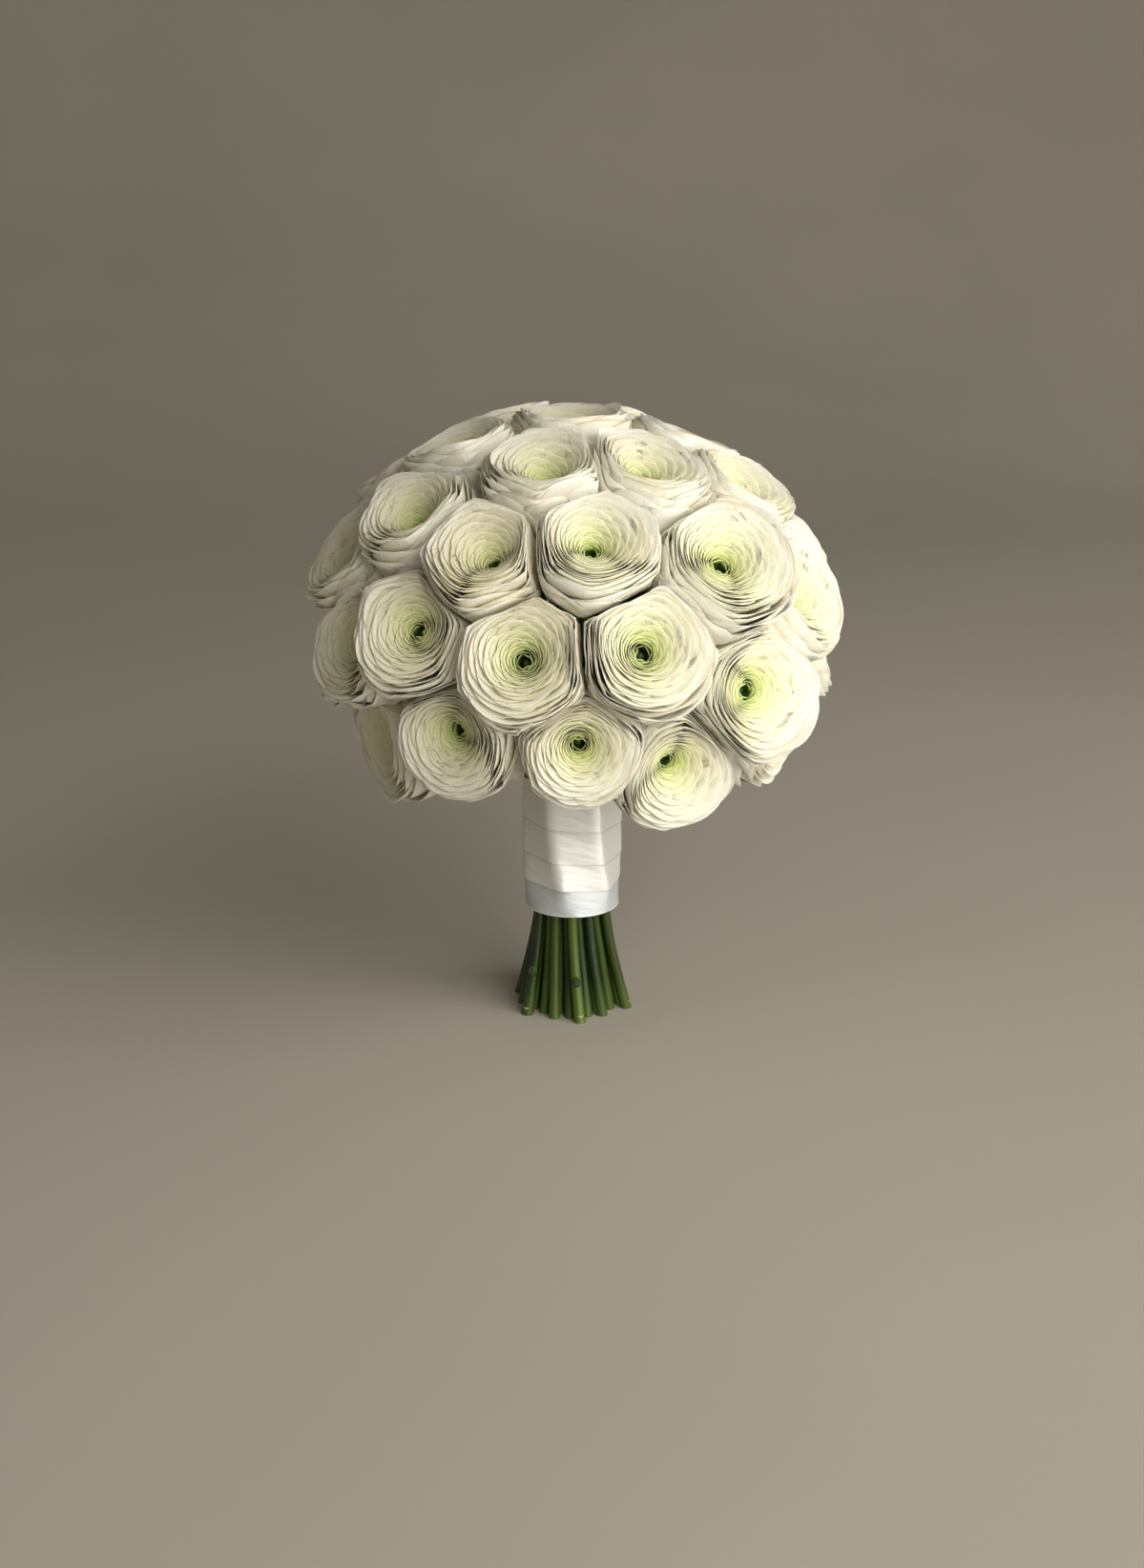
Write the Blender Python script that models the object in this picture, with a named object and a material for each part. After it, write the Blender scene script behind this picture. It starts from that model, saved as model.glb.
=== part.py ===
"""A hand-tied bouquet of white ranunculus, standing on its cut stems.

Metres, +Z up. The origin is the middle of the cut ends, on the surface that
they stand on, and the front of the bouquet faces -Y. Every bloom is one closed
relief: rings of scalloped petal lips round a deep crater, with a green button
in it. Neighbouring blooms share the room between them at flat boundaries, as
real ones do when they are pressed together, so that none cuts another.
"""

import math
import random

import bpy
from mathutils import Euler, Vector

# The dome of blooms: the rims' centres lie on an ellipsoid.
DOME_CENTRE = Vector((0.0, 0.0, 0.203))
DOME_RADIUS = 0.119
DOME_RISE = 0.097

# A bloom, from its foot on the stem to the plane of its rim.
BLOOM_DEPTH = 0.040
BLOOM_RADIUS = 0.0345
PETALS_PER_RING = 5
SIDES_PER_PETAL = 3
SIZE_SPREAD = 0.02
BLOOM_GAP = 0.0004
SQUEEZE_POWER = 10.0
NEIGHBOUR_RANGE = 0.120
OPEN_SIDE = 1.0

# How much of a bloom's facing is the dome's own slope. The rest is the line
# from the binding, which lifts the lower blooms.
SLOPE_SHARE = 0.45

# Stems: a hexagonal bunch, upright in the handle and spread at the cut ends.
STEM_SIDES = 6
STEM_RADIUS_IN_HANDLE = 0.00245
STEM_RADIUS_AT_CUT = 0.0030
STEM_RADIUS_AT_BLOOM = 0.0021
STEM_PITCH_IN_HANDLE = 0.0053
STEM_PITCH_AT_CUT = 0.0083
CUT_JITTER = 0.0007
BUNCH_TWIST = math.radians(9.0)
SPREAD_TOP_Z = 0.056
SPREAD_CURVE = 1.3
BINDING_Z = 0.122
BEND_SHARE = 0.36
OUTER_SHELL = 12
STEM_CLEARANCE = 0.0004
CALYX_RADIUS = 0.0042
CALYX_LENGTH = 0.0055
KNOT_RADIUS = 0.0042
KNOT_BOTTOM_Z = 0.102
KNOT_TOP_Z = 0.111
KNOT_TURN = 0.35

# The handle: binding tape round the stems, and satin ribbon over it.
TAPE_INNER_RADIUS = 0.0211
TAPE_WALL = 0.0007
TAPE_BOTTOM_Z = 0.058
TAPE_TOP_Z = 0.117
RIBBON_RADIUS = 0.02315
RIBBON_WALL = 0.0010
RIBBON_STEP = 0.00025
RIBBON_LAP = 0.0004
RIBBON_EDGES_Z = (0.0535, 0.067, 0.081, 0.098, 0.120)
RIBBON_SLANT = 0.0022
RIBBON_SIDES = 32
TAPE_SIDES = 24

# The blooms round the crown and then down the side: azimuth and polar angle in
# degrees, size, and how far the bloom is turned about the upright. Azimuth 0 is
# the front, and it grows towards +X.
CROWN_PLACES = [
    (0, 0, 1.0, 0), (-73, 28, 0.98, 0), (-11, 31, 1.0, 0), (36, 31, 1.0, 0),
    (104, 29, 0.98, 0), (157, 31, 1.0, 0), (217, 30, 1.02, 0),
]
# Each of these stands again half a turn round the bouquet.
SIDE_PLACES = [
    (-53, 50, 0.98, 12), (75, 45, 1.0, -8), (6, 54, 1.0, 0), (-23, 58, 0.98, 6),
    (41, 62, 1.08, -20), (-76, 67, 1.0, 8), (70, 77, 1.0, -14), (-38, 81, 1.0, 16),
    (16, 83, 1.0, -4), (-11, 85, 1.04, 0), (-60, 89, 0.98, 8), (-91, 96, 1.0, 0),
    (48, 101, 1.06, -18), (2, 112, 0.9, 0), (-30, 112, 0.94, 4), (-64, 121, 0.98, 0),
    (31, 125, 0.96, -10), (72, 119, 1.0, -6),
]

# A bloom's outline from foot to crater: radius as a share of the widest, height
# in millimetres, and how far that ring's petals wave outwards and upwards, in
# millimetres. The crater starts at the first groove.
BLOOM_RINGS = [
    (0.13, 0.0, 0.0, 0.0),
    (0.60, 5.0, 0.0, 0.0),
    (0.93, 18.0, 0.6, 1.0),
    (1.00, 33.5, 0.9, 1.8),
    (0.83, 29.0, 0.3, 0.4),
    (0.79, 39.0, 0.7, 1.2),
    (0.58, 30.5, 0.3, 0.4),
    (0.54, 36.5, 0.6, 1.1),
    (0.26, 25.0, 0.0, 0.0),
    (0.15, 27.5, 0.0, 0.0),
]
CRATER_Z = 29.0
GROOVE_RING = 4
LIP_SPREAD = 0.5
# One petal of a ring is tucked under the last one and rises to its own tip.
PETAL_OUT = (-1.0, 0.3, 0.7)
PETAL_UP = (-1.0, 0.6, 0.4)

SEED = 43
MM = 0.001


def clear_scene():
    for thing in list(bpy.data.objects):
        bpy.data.objects.remove(thing, do_unlink=True)


def make_material(name, colour, roughness):
    material = bpy.data.materials.new(name)
    material.use_nodes = True
    shader = material.node_tree.nodes["Principled BSDF"]
    shader.inputs["Base Color"].default_value = (*colour, 1.0)
    shader.inputs["Roughness"].default_value = roughness
    shader.inputs["Metallic"].default_value = 0.0
    return material


def add_solid(name, points, faces, material):
    mesh = bpy.data.meshes.new(name)
    mesh.from_pydata([tuple(point) for point in points], [], faces)
    mesh.materials.append(material)
    solid = bpy.data.objects.new(name, mesh)
    bpy.context.scene.collection.objects.link(solid)
    return solid


def loft(rings, first_cap, last_cap):
    """Points and faces of closed rings joined in order, with a point at each end."""
    sides = len(rings[0])
    points = [point for ring in rings for point in ring]
    faces = []
    for row in range(len(rings) - 1):
        low = row * sides
        high = low + sides
        for side in range(sides):
            after = (side + 1) % sides
            faces.append((low + side, low + after, high + after))
            faces.append((low + side, high + after, high + side))
    points.append(first_cap)
    points.append(last_cap)
    top = (len(rings) - 1) * sides
    for side in range(sides):
        after = (side + 1) % sides
        faces.append((len(points) - 2, after, side))
        faces.append((len(points) - 1, top + side, top + after))
    return points, faces


def turned(angle, radius, height):
    """A point at an angle from the front, towards +X."""
    return Vector((radius * math.sin(angle), -radius * math.cos(angle), height))


class Bloom:
    """Where one bloom sits, which way it faces and how large it is."""

    def __init__(self, azimuth, polar, size, turn, rng):
        around = math.radians(azimuth)
        down = math.radians(polar)
        self.azimuth = around
        self.polar = down
        offset = turned(around, DOME_RADIUS * math.sin(down), DOME_RISE * math.cos(down))
        self.rim = DOME_CENTRE + offset
        slope = Vector((
            offset.x / DOME_RADIUS ** 2, offset.y / DOME_RADIUS ** 2, offset.z / DOME_RISE ** 2,
        )).normalized()
        from_binding = (self.rim - Vector((0, 0, BINDING_Z))).normalized()
        self.axis = slope.lerp(from_binding, 1 - SLOPE_SHARE).normalized()
        self.axis.rotate(Euler((0, 0, math.radians(turn))))
        self.size = size + rng.uniform(-SIZE_SPREAD, SIZE_SPREAD)
        self.spin = rng.uniform(0, 2 * math.pi)
        self.lips = [rng.uniform(-LIP_SPREAD, LIP_SPREAD) for _ in BLOOM_RINGS]
        self.foot = self.rim - self.axis * BLOOM_DEPTH
        self.middle = self.rim - self.axis * BLOOM_DEPTH * 0.5
        side = Vector((0, 0, 1)) if abs(self.axis.z) < 0.9 else Vector((0, 1, 0))
        self.right = self.axis.cross(side).normalized()
        self.up = self.axis.cross(self.right)
        self.walls = []

    def find_walls(self, blooms):
        """Flat boundaries to the neighbours, each as a normal and its distance."""
        for other in blooms:
            between = other.middle - self.middle
            apart = between.length
            if other is not self and apart < NEIGHBOUR_RANGE:
                share = self.size / (self.size + other.size)
                self.walls.append((between / apart, share * apart - BLOOM_GAP / 2))

    def room(self, height, angle):
        """How far a petal may reach from the axis at this height and angle."""
        direction = self.right * math.cos(angle) + self.up * math.sin(angle)
        start = self.foot + self.axis * height
        nearest = OPEN_SIDE
        for normal, distance in self.walls:
            closing = normal.dot(direction)
            if closing > 1e-6:
                left = distance - normal.dot(start - self.middle)
                nearest = min(nearest, left / closing)
        return nearest

    def squeeze(self, height, angle, outline):
        """The factor that keeps the bloom's outline inside its own room."""
        room = self.room(height, angle)
        return (1 + (outline / room) ** SQUEEZE_POWER) ** (-1 / SQUEEZE_POWER)

    def point(self, radius, height, angle):
        direction = self.right * math.cos(angle) + self.up * math.sin(angle)
        return self.foot + self.axis * height + direction * radius


def bloom_points(bloom):
    """The rings of one bloom, from its foot round the lips to the crater."""
    sides = PETALS_PER_RING * SIDES_PER_PETAL
    widest = BLOOM_RADIUS * bloom.size
    groove_z = BLOOM_RINGS[GROOVE_RING][1] * MM
    rings = []
    for number, (share, height, wave_out, wave_up) in enumerate(BLOOM_RINGS):
        lift = bloom.lips[number] if wave_up else 0.0
        ring = []
        for side in range(sides):
            turn = (side + 2 * number) % SIDES_PER_PETAL
            angle = bloom.spin + 2 * math.pi * side / sides
            z = (height + lift + wave_up * PETAL_UP[turn]) * MM
            r = share * widest + wave_out * PETAL_OUT[turn] * MM
            if number < GROOVE_RING:
                factor = bloom.squeeze(z, angle, r)
            else:
                factor = min(
                    bloom.squeeze(z, angle, widest), bloom.squeeze(groove_z, angle, widest),
                )
            ring.append(bloom.point(r * factor, z, angle))
        rings.append(ring)
    return rings


def make_bloom(name, bloom, material):
    rings = bloom_points(bloom)
    crater = bloom.point(0, CRATER_Z * MM, 0)
    points, faces = loft(rings, bloom.foot, crater)
    return add_solid(name, points, faces, material)


def hexagonal_bunch():
    """Cells (a, b) of a hexagonal bunch, from the middle outwards."""
    reach = range(-4, 5)
    cells = [(a, b) for a in reach for b in reach if a * a + a * b + b * b <= OUTER_SHELL]

    def order(cell):
        a, b = cell
        return a * a + a * b + b * b, math.atan2(b * math.sqrt(3), 2 * a + b)

    return sorted(cells, key=order)


def cell_place(cell, pitch):
    a, b = cell
    return Vector(((a + b / 2) * pitch, b * math.sqrt(3) / 2 * pitch))


def bunch_middles():
    """The middle cells of the seven small bunches that the whole bunch is made of."""
    middles = [(0, 0)]
    middle = (2, 1)
    for _ in range(6):
        middles.append(middle)
        middle = (-middle[1], middle[0] + middle[1])
    return middles


def bunch_of(cell, middles):
    """The number of the small bunch whose middle is nearest to a cell."""
    place = cell_place(cell, 1)
    return min(
        range(len(middles)), key=lambda number: (place - cell_place(middles[number], 1)).length,
    )


def match_stems(cells, blooms):
    """Gives each cell a bloom, so that the stems fan out without crossing.

    A bloom's own place in the fan lies towards its foot, as far out as the cell
    of the same rank: the crown has the middle cells, and the lowest the outer.
    """
    by_height = sorted(blooms, key=lambda bloom: bloom.polar)
    fan = [
        bloom.foot.xy.normalized() * cell_place(cell, 1).length
        for cell, bloom in zip(cells, by_height)
    ]
    chosen = list(range(len(cells)))

    def strain(cell, number):
        return (cell_place(cell, 1) - fan[number]).length_squared

    better = True
    while better:
        better = False
        for one in range(len(cells)):
            for two in range(one):
                now = strain(cells[one], chosen[one]) + strain(cells[two], chosen[two])
                then = strain(cells[one], chosen[two]) + strain(cells[two], chosen[one])
                if then < now - 1e-9:
                    chosen[one], chosen[two] = chosen[two], chosen[one]
                    better = True
    return {cell: by_height[number] for cell, number in zip(cells, chosen)}


def stem_ring(centre, along, radius, sideways):
    across = (sideways - along * sideways.dot(along)).normalized()
    over = along.cross(across)
    return [
        centre
        + across * radius * math.cos(2 * math.pi * side / STEM_SIDES)
        + over * radius * math.sin(2 * math.pi * side / STEM_SIDES)
        for side in range(STEM_SIDES)
    ]


def curve_point(ends, t):
    """A point on the cubic curve through four handles, and its direction there."""
    a, b, c, d = ends
    s = 1 - t
    place = a * s ** 3 + b * 3 * s * s * t + c * 3 * s * t * t + d * t ** 3
    along = (b - a) * s * s + (c - b) * 2 * s * t + (d - c) * t * t
    return place, along.normalized()


def cut_place(cell, rng):
    """Where a stem's cut end stands: the bunch spread, a little twisted and uneven."""
    x, y = cell_place(cell, STEM_PITCH_AT_CUT)
    jitter = 0.0 if cell == (0, 0) else CUT_JITTER
    return Vector((
        x * math.cos(BUNCH_TWIST) - y * math.sin(BUNCH_TWIST) + rng.uniform(-jitter, jitter),
        x * math.sin(BUNCH_TWIST) + y * math.cos(BUNCH_TWIST) + rng.uniform(-jitter, jitter),
        0.0,
    ))


def stem_rings(cell, bloom, rng):
    """The rings of one stem, from its cut end to the calyx under the bloom."""
    upright = Vector((0, 0, 1))
    held = cell_place(cell, STEM_PITCH_IN_HANDLE).to_3d()
    cut = cut_place(cell, rng)
    sideways = Vector((math.cos(bloom.azimuth), math.sin(bloom.azimuth), 0))
    rings = []
    for height in (0.0, 0.5, 1.0):
        spread = (1 - height) ** SPREAD_CURVE
        centre = held.lerp(cut, spread) + upright * SPREAD_TOP_Z * height
        radius = STEM_RADIUS_IN_HANDLE
        radius += (STEM_RADIUS_AT_CUT - STEM_RADIUS_IN_HANDLE) * (1 - height)
        rings.append(stem_ring(centre, upright, radius, sideways))
    start = held + upright * BINDING_Z
    end = bloom.foot - bloom.axis * STEM_CLEARANCE
    calyx = end - bloom.axis * CALYX_LENGTH
    bend = (calyx - start).length * BEND_SHARE
    ends = (start, start + upright * bend, calyx - bloom.axis * bend, calyx)
    for t in (0.0, 0.35, 0.7, 1.0):
        centre, along = curve_point(ends, t)
        radius = STEM_RADIUS_AT_BLOOM if t > 0 else STEM_RADIUS_IN_HANDLE
        rings.append(stem_ring(centre, along, radius, sideways))
    rings.append(stem_ring(end, bloom.axis, CALYX_RADIUS, sideways))
    return rings


def make_stem(name, cell, bloom, rng, material):
    rings = stem_rings(cell, bloom, rng)
    foot = sum(rings[0], Vector()) / STEM_SIDES
    top = sum(rings[-1], Vector()) / STEM_SIDES
    points, faces = loft(rings, foot, top)
    return add_solid(name, points, faces, material)


def make_knot(name, cell, material):
    """The squeezed heart of a small bunch, where its stems are pressed together."""
    centre = cell_place(cell, STEM_PITCH_IN_HANDLE).to_3d()
    upright = Vector((0, 0, 1))
    sideways = Vector((math.cos(KNOT_TURN), math.sin(KNOT_TURN), 0))
    low = centre + upright * KNOT_BOTTOM_Z
    high = centre + upright * KNOT_TOP_Z
    rings = [stem_ring(place, upright, KNOT_RADIUS, sideways) for place in (low, high)]
    points, faces = loft(rings, low, high)
    return add_solid(name, points, faces, material)


def join_solids(first, others):
    """Makes one closed body of the first solid and the others, and drops the others."""
    group = bpy.data.collections.new(first.name + "_joined")
    bpy.context.scene.collection.children.link(group)
    for other in others:
        bpy.context.scene.collection.objects.unlink(other)
        group.objects.link(other)
    union = first.modifiers.new("union", "BOOLEAN")
    union.operation = "UNION"
    union.operand_type = "COLLECTION"
    union.collection = group
    bpy.context.view_layer.update()
    graph = bpy.context.evaluated_depsgraph_get()
    joined = bpy.data.meshes.new_from_object(first.evaluated_get(graph))
    first.modifiers.clear()
    first.data = joined
    for other in others:
        bpy.data.objects.remove(other, do_unlink=True)
    bpy.data.collections.remove(group)


def make_stems(cells, pairs, rng, material):
    """Seven small bunches of stems, each one body."""
    middles = bunch_middles()
    bunches = [[] for _ in middles]
    for cell in cells:
        stem = make_stem("stem", cell, pairs[cell], rng, material)
        bunches[bunch_of(cell, middles)].append(stem)
    for number, stems in enumerate(bunches):
        name = f"stems_{number}" if number else "stems_middle"
        join_solids(make_knot(name, middles[number], material), stems)


def ring_at(radius, height, sides, tilt):
    """A level ring, or one that rises and falls by the tilt as it goes round."""
    ring = []
    for side in range(sides):
        angle = 2 * math.pi * side / sides
        ring.append(turned(angle, radius, height + tilt * math.sin(angle)))
    return ring


def make_sleeve(name, rings, material):
    """A tube whose wall is closed from the last ring back to the first."""
    sides = len(rings[0])
    points = [point for ring in rings for point in ring]
    faces = []
    for row in range(len(rings)):
        low = row * sides
        high = (row + 1) % len(rings) * sides
        for side in range(sides):
            after = (side + 1) % sides
            faces.append((low + side, low + after, high + after))
            faces.append((low + side, high + after, high + side))
    return add_solid(name, points, faces, material)


def make_tape(material):
    inner = TAPE_INNER_RADIUS
    outer = inner + TAPE_WALL
    rings = [
        ring_at(outer, TAPE_BOTTOM_Z, TAPE_SIDES, 0),
        ring_at(outer, TAPE_TOP_Z, TAPE_SIDES, 0),
        ring_at(inner, TAPE_TOP_Z, TAPE_SIDES, 0),
        ring_at(inner, TAPE_BOTTOM_Z, TAPE_SIDES, 0),
    ]
    return make_sleeve("binding_tape", rings, material)


def make_ribbon(material):
    """The wraps of ribbon, each lapped over the one below it at a slanting edge."""
    last = len(RIBBON_EDGES_Z) - 1
    rings = []
    for number, edge in enumerate(RIBBON_EDGES_Z):
        slant = RIBBON_SLANT if 0 < number < last else 0.0
        if number > 0:
            under = RIBBON_RADIUS - RIBBON_STEP
            rings.append(ring_at(under, edge - RIBBON_LAP, RIBBON_SIDES, slant))
        if number < last:
            rings.append(ring_at(RIBBON_RADIUS, edge, RIBBON_SIDES, slant))
    inner = RIBBON_RADIUS - RIBBON_WALL
    rings.append(ring_at(inner, RIBBON_EDGES_Z[-1] - RIBBON_LAP, RIBBON_SIDES, 0))
    rings.append(ring_at(inner, RIBBON_EDGES_Z[0], RIBBON_SIDES, 0))
    return make_sleeve("ribbon_wrap", rings, material)


def main():
    clear_scene()
    rng = random.Random(SEED)
    petal = make_material("petal_ivory", (0.86, 0.81, 0.68), 0.5)
    stem = make_material("stem_green", (0.09, 0.20, 0.04), 0.45)
    satin = make_material("satin_ivory", (0.85, 0.81, 0.74), 0.3)
    tape = make_material("tape_green", (0.24, 0.32, 0.18), 0.7)

    places = CROWN_PLACES + SIDE_PLACES
    places += [(azimuth + 180, polar, size, turn) for azimuth, polar, size, turn in SIDE_PLACES]
    blooms = [Bloom(*place, rng) for place in places]
    for bloom in blooms:
        bloom.find_walls(blooms)
    for number, bloom in enumerate(blooms, start=1):
        make_bloom(f"bloom_{number:02d}", bloom, petal)

    cells = hexagonal_bunch()
    make_stems(cells, match_stems(cells, blooms), rng, stem)
    make_tape(tape)
    make_ribbon(satin)


main()
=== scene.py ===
# %% [markdown]
# A bridal bouquet of white ranunculus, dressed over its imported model.
#
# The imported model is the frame: plain solids that say how large the bouquet is and where each bloom, stem
# and wrap of ribbon sits. This lesson puts finer pieces in their places. They could be sculpted by hand,
# but a bouquet has more than four thousand petals. So nearly every piece is made in one way: a grid
# operator lays out a flat sheet, and a formula bends it to its place. The flow of petals, stems and
# ribbon then comes from a few numbers, and a number changed here changes every bloom.

# %% Load the frame
import math
import random

import bmesh
import bpy
import numpy as np
from mathutils import Euler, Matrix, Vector


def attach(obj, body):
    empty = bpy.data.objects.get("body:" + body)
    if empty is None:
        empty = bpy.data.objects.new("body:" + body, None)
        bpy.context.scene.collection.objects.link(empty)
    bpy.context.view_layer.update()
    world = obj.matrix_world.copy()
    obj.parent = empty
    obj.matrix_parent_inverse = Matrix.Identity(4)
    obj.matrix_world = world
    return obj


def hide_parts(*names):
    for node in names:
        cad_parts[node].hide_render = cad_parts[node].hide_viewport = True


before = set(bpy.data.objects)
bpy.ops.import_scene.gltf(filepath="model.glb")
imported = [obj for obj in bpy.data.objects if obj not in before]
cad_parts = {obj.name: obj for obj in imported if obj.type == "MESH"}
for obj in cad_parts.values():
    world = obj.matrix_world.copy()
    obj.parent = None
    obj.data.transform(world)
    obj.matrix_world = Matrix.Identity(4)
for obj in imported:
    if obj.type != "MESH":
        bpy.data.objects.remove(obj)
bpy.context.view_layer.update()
MM = 0.001

# %% [markdown]
# The camera stands where the photograph was taken from. It could be set by eye, but then each later
# comparison would mix up the view with the shapes. So it is worked out: straight edges that run side by
# side meet at points in the picture, which give the tilt and the focal length, and the bouquet's size
# gives the distance. It comes first, because each later step is judged through it.

# %% Camera
PHOTO_HEIGHT = 1644
FOCAL_PIXELS = 2250
SENSOR = 36.0
CAMERA_PLACE = (0.0, -1.014, 0.435)
CAMERA_DROP = math.radians(17.5)


def make_camera():
    data = bpy.data.cameras.new("camera")
    data.sensor_width = SENSOR
    data.lens = FOCAL_PIXELS / PHOTO_HEIGHT * SENSOR
    camera = bpy.data.objects.new("camera", data)
    camera.location = CAMERA_PLACE
    camera.rotation_euler = (math.pi / 2 - CAMERA_DROP, 0, 0)
    bpy.context.scene.collection.objects.link(camera)
    bpy.context.scene.camera = camera
    return camera


camera = make_camera()
print("camera lens:", round(camera.data.lens, 2), "mm")

# %% [markdown]
# A finish is a material with its nodes. Nodes can be wired one by one, but that is long and hides the
# idea. So a small class wraps a socket and lets plain sums stand for Math nodes, and one method makes
# every other node. Colours never go through a Math node, which would turn them grey, so they have a blend
# of their own.

# %% Sums on values


class Value:
    """A number or vector that a node gives, on which sums can be written."""

    def __init__(self, finish, socket):
        self.finish = finish
        self.socket = socket

    def sum(self, operation, first, second):
        return self.finish.node("ShaderNodeMath", {"operation": operation}, {0: first, 1: second})

    def __add__(self, other):
        return self.sum("ADD", self, other)

    __radd__ = __add__

    def __mul__(self, other):
        return self.sum("MULTIPLY", self, other)

    __rmul__ = __mul__

    def __sub__(self, other):
        return self.sum("SUBTRACT", self, other)

    def __rsub__(self, other):
        return self.sum("SUBTRACT", other, self)


# %% A finish and its nodes


class Finish:
    """A material, its Principled shader and the nodes that feed it."""

    def __init__(self, name, **constants):
        self.material = bpy.data.materials.new(name)
        self.material.use_nodes = True
        self.tree = self.material.node_tree
        self.shader = self.tree.nodes["Principled BSDF"]
        for key, value in constants.items():
            self.shader.inputs[key.replace("_", " ")].default_value = value

    def feed(self, socket, value):
        if isinstance(value, Value):
            self.tree.links.new(value.socket, socket)
        else:
            socket.default_value = value

    def node(self, kind, settings=None, inputs=None, output=0):
        made = self.tree.nodes.new(kind)
        for key, value in (settings or {}).items():
            if key == "stops":
                set_stops(made.color_ramp, value)
            else:
                setattr(made, key, value)
        for key, value in (inputs or {}).items():
            self.feed(made.inputs[key], value)
        return Value(self, made.outputs[output])

    def attribute(self, name):
        """The three numbers of a mesh attribute."""
        vector = self.node("ShaderNodeAttribute", {"attribute_name": name}, output="Vector")
        return self.axes(vector)

    def axes(self, vector):
        split = self.node("ShaderNodeSeparateXYZ", inputs={"Vector": vector})
        return [Value(self, socket) for socket in split.socket.node.outputs]

    def place(self):
        return self.node("ShaderNodeTexCoord", output="Object")

    def join(self, x, y, z):
        return self.node("ShaderNodeCombineXYZ", inputs={0: x, 1: y, 2: z})

    def noise(self, vector, scale, detail=2.0):
        inputs = {"Vector": vector, "Scale": scale, "Detail": detail}
        return self.node("ShaderNodeTexNoise", inputs=inputs)

    def ramp(self, factor, stops):
        """A smooth run of colours along a number."""
        return self.node("ShaderNodeValToRGB", {"stops": stops}, {"Fac": factor})

    def step(self, value, low, high):
        """0 below low, 1 above high and smooth between them."""
        settings = {"interpolation_type": "SMOOTHSTEP"}
        return self.node("ShaderNodeMapRange", settings, {"Value": value, 1: low, 2: high})

    def blend(self, first, second, factor):
        """The first colour, turned towards the second by a factor from 0 to 1."""
        inputs = {0: factor, 6: first, 7: (*second, 1.0)}
        return self.node("ShaderNodeMix", {"data_type": "RGBA"}, inputs, output=2)

    def bump(self, height, distance, strength):
        inputs = {"Height": height, "Distance": distance, "Strength": strength}
        self.feed(self.shader.inputs["Normal"], self.node("ShaderNodeBump", inputs=inputs))

    def colour(self, value):
        self.feed(self.shader.inputs["Base Color"], value)

    def roughness(self, value):
        self.feed(self.shader.inputs["Roughness"], value)


def set_stops(ramp, stops):
    while len(ramp.elements) > len(stops):
        ramp.elements.remove(ramp.elements[-1])
    while len(ramp.elements) < len(stops):
        ramp.elements.new(1.0)
    for element, (position, colour) in zip(ramp.elements, stops):
        element.position = position
        element.color = (*colour, 1.0)


print("finish helpers ready")

# %% [markdown]
# Ranunculus petals are thin as paper and a little see-through. A white bloom isn't white all over: it is
# green at the eye, lime where the young petals are still closed, then cream, and nearly white outside.
# Low on the youngest petals, deep in the pit, the green is darkened further as painted shade.
# Each petal has fine veins that fan out from its foot, soft creases, and a rim that is tan here and
# there. The rim is also painted paler all round, a painted glow for light shining through its thin
# edge. A painted picture would need every petal laid flat for it.
# numbers for all of this: how far across and up its petal a point lies, a number drawn for each petal,
# and how far out from the eye it is. A little light that goes into the surface and comes out beside its
# way in gives the softness.

# %% Petal finish
# From the eye outwards, by the distance from the bloom's middle as a share of its radius.
PETAL_COLOURS = [
    (0.00, (0.08, 0.13, 0.02)),
    (0.09, (0.40, 0.50, 0.10)),
    (0.20, (0.64, 0.71, 0.25)),
    (0.36, (0.79, 0.80, 0.42)),
    (0.55, (0.86, 0.84, 0.56)),
    (0.78, (0.88, 0.865, 0.68)),
    (1.00, (0.89, 0.875, 0.77)),
]
VEIN_SHADE = (0.78, 0.74, 0.60)
OLD_CREAM = (0.88, 0.79, 0.52)
FOOT_LIME = (0.50, 0.60, 0.22)
# The youngest petals' own green, made darker as painted shade low in the pit.
HEART_GREEN_AND_PAINTED_SHADE = (0.08, 0.15, 0.025)
# Painted glow: the pale rim stands for light shining through the thin petal edge.
RIM_PAINTED_GLOW = (0.93, 0.91, 0.78)
RIM_TAN = (0.62, 0.47, 0.27)
GLOW_DEPTH = 0.8 * MM
GLOW_COLOUR = (0.75, 0.85, 1.0)


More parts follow.
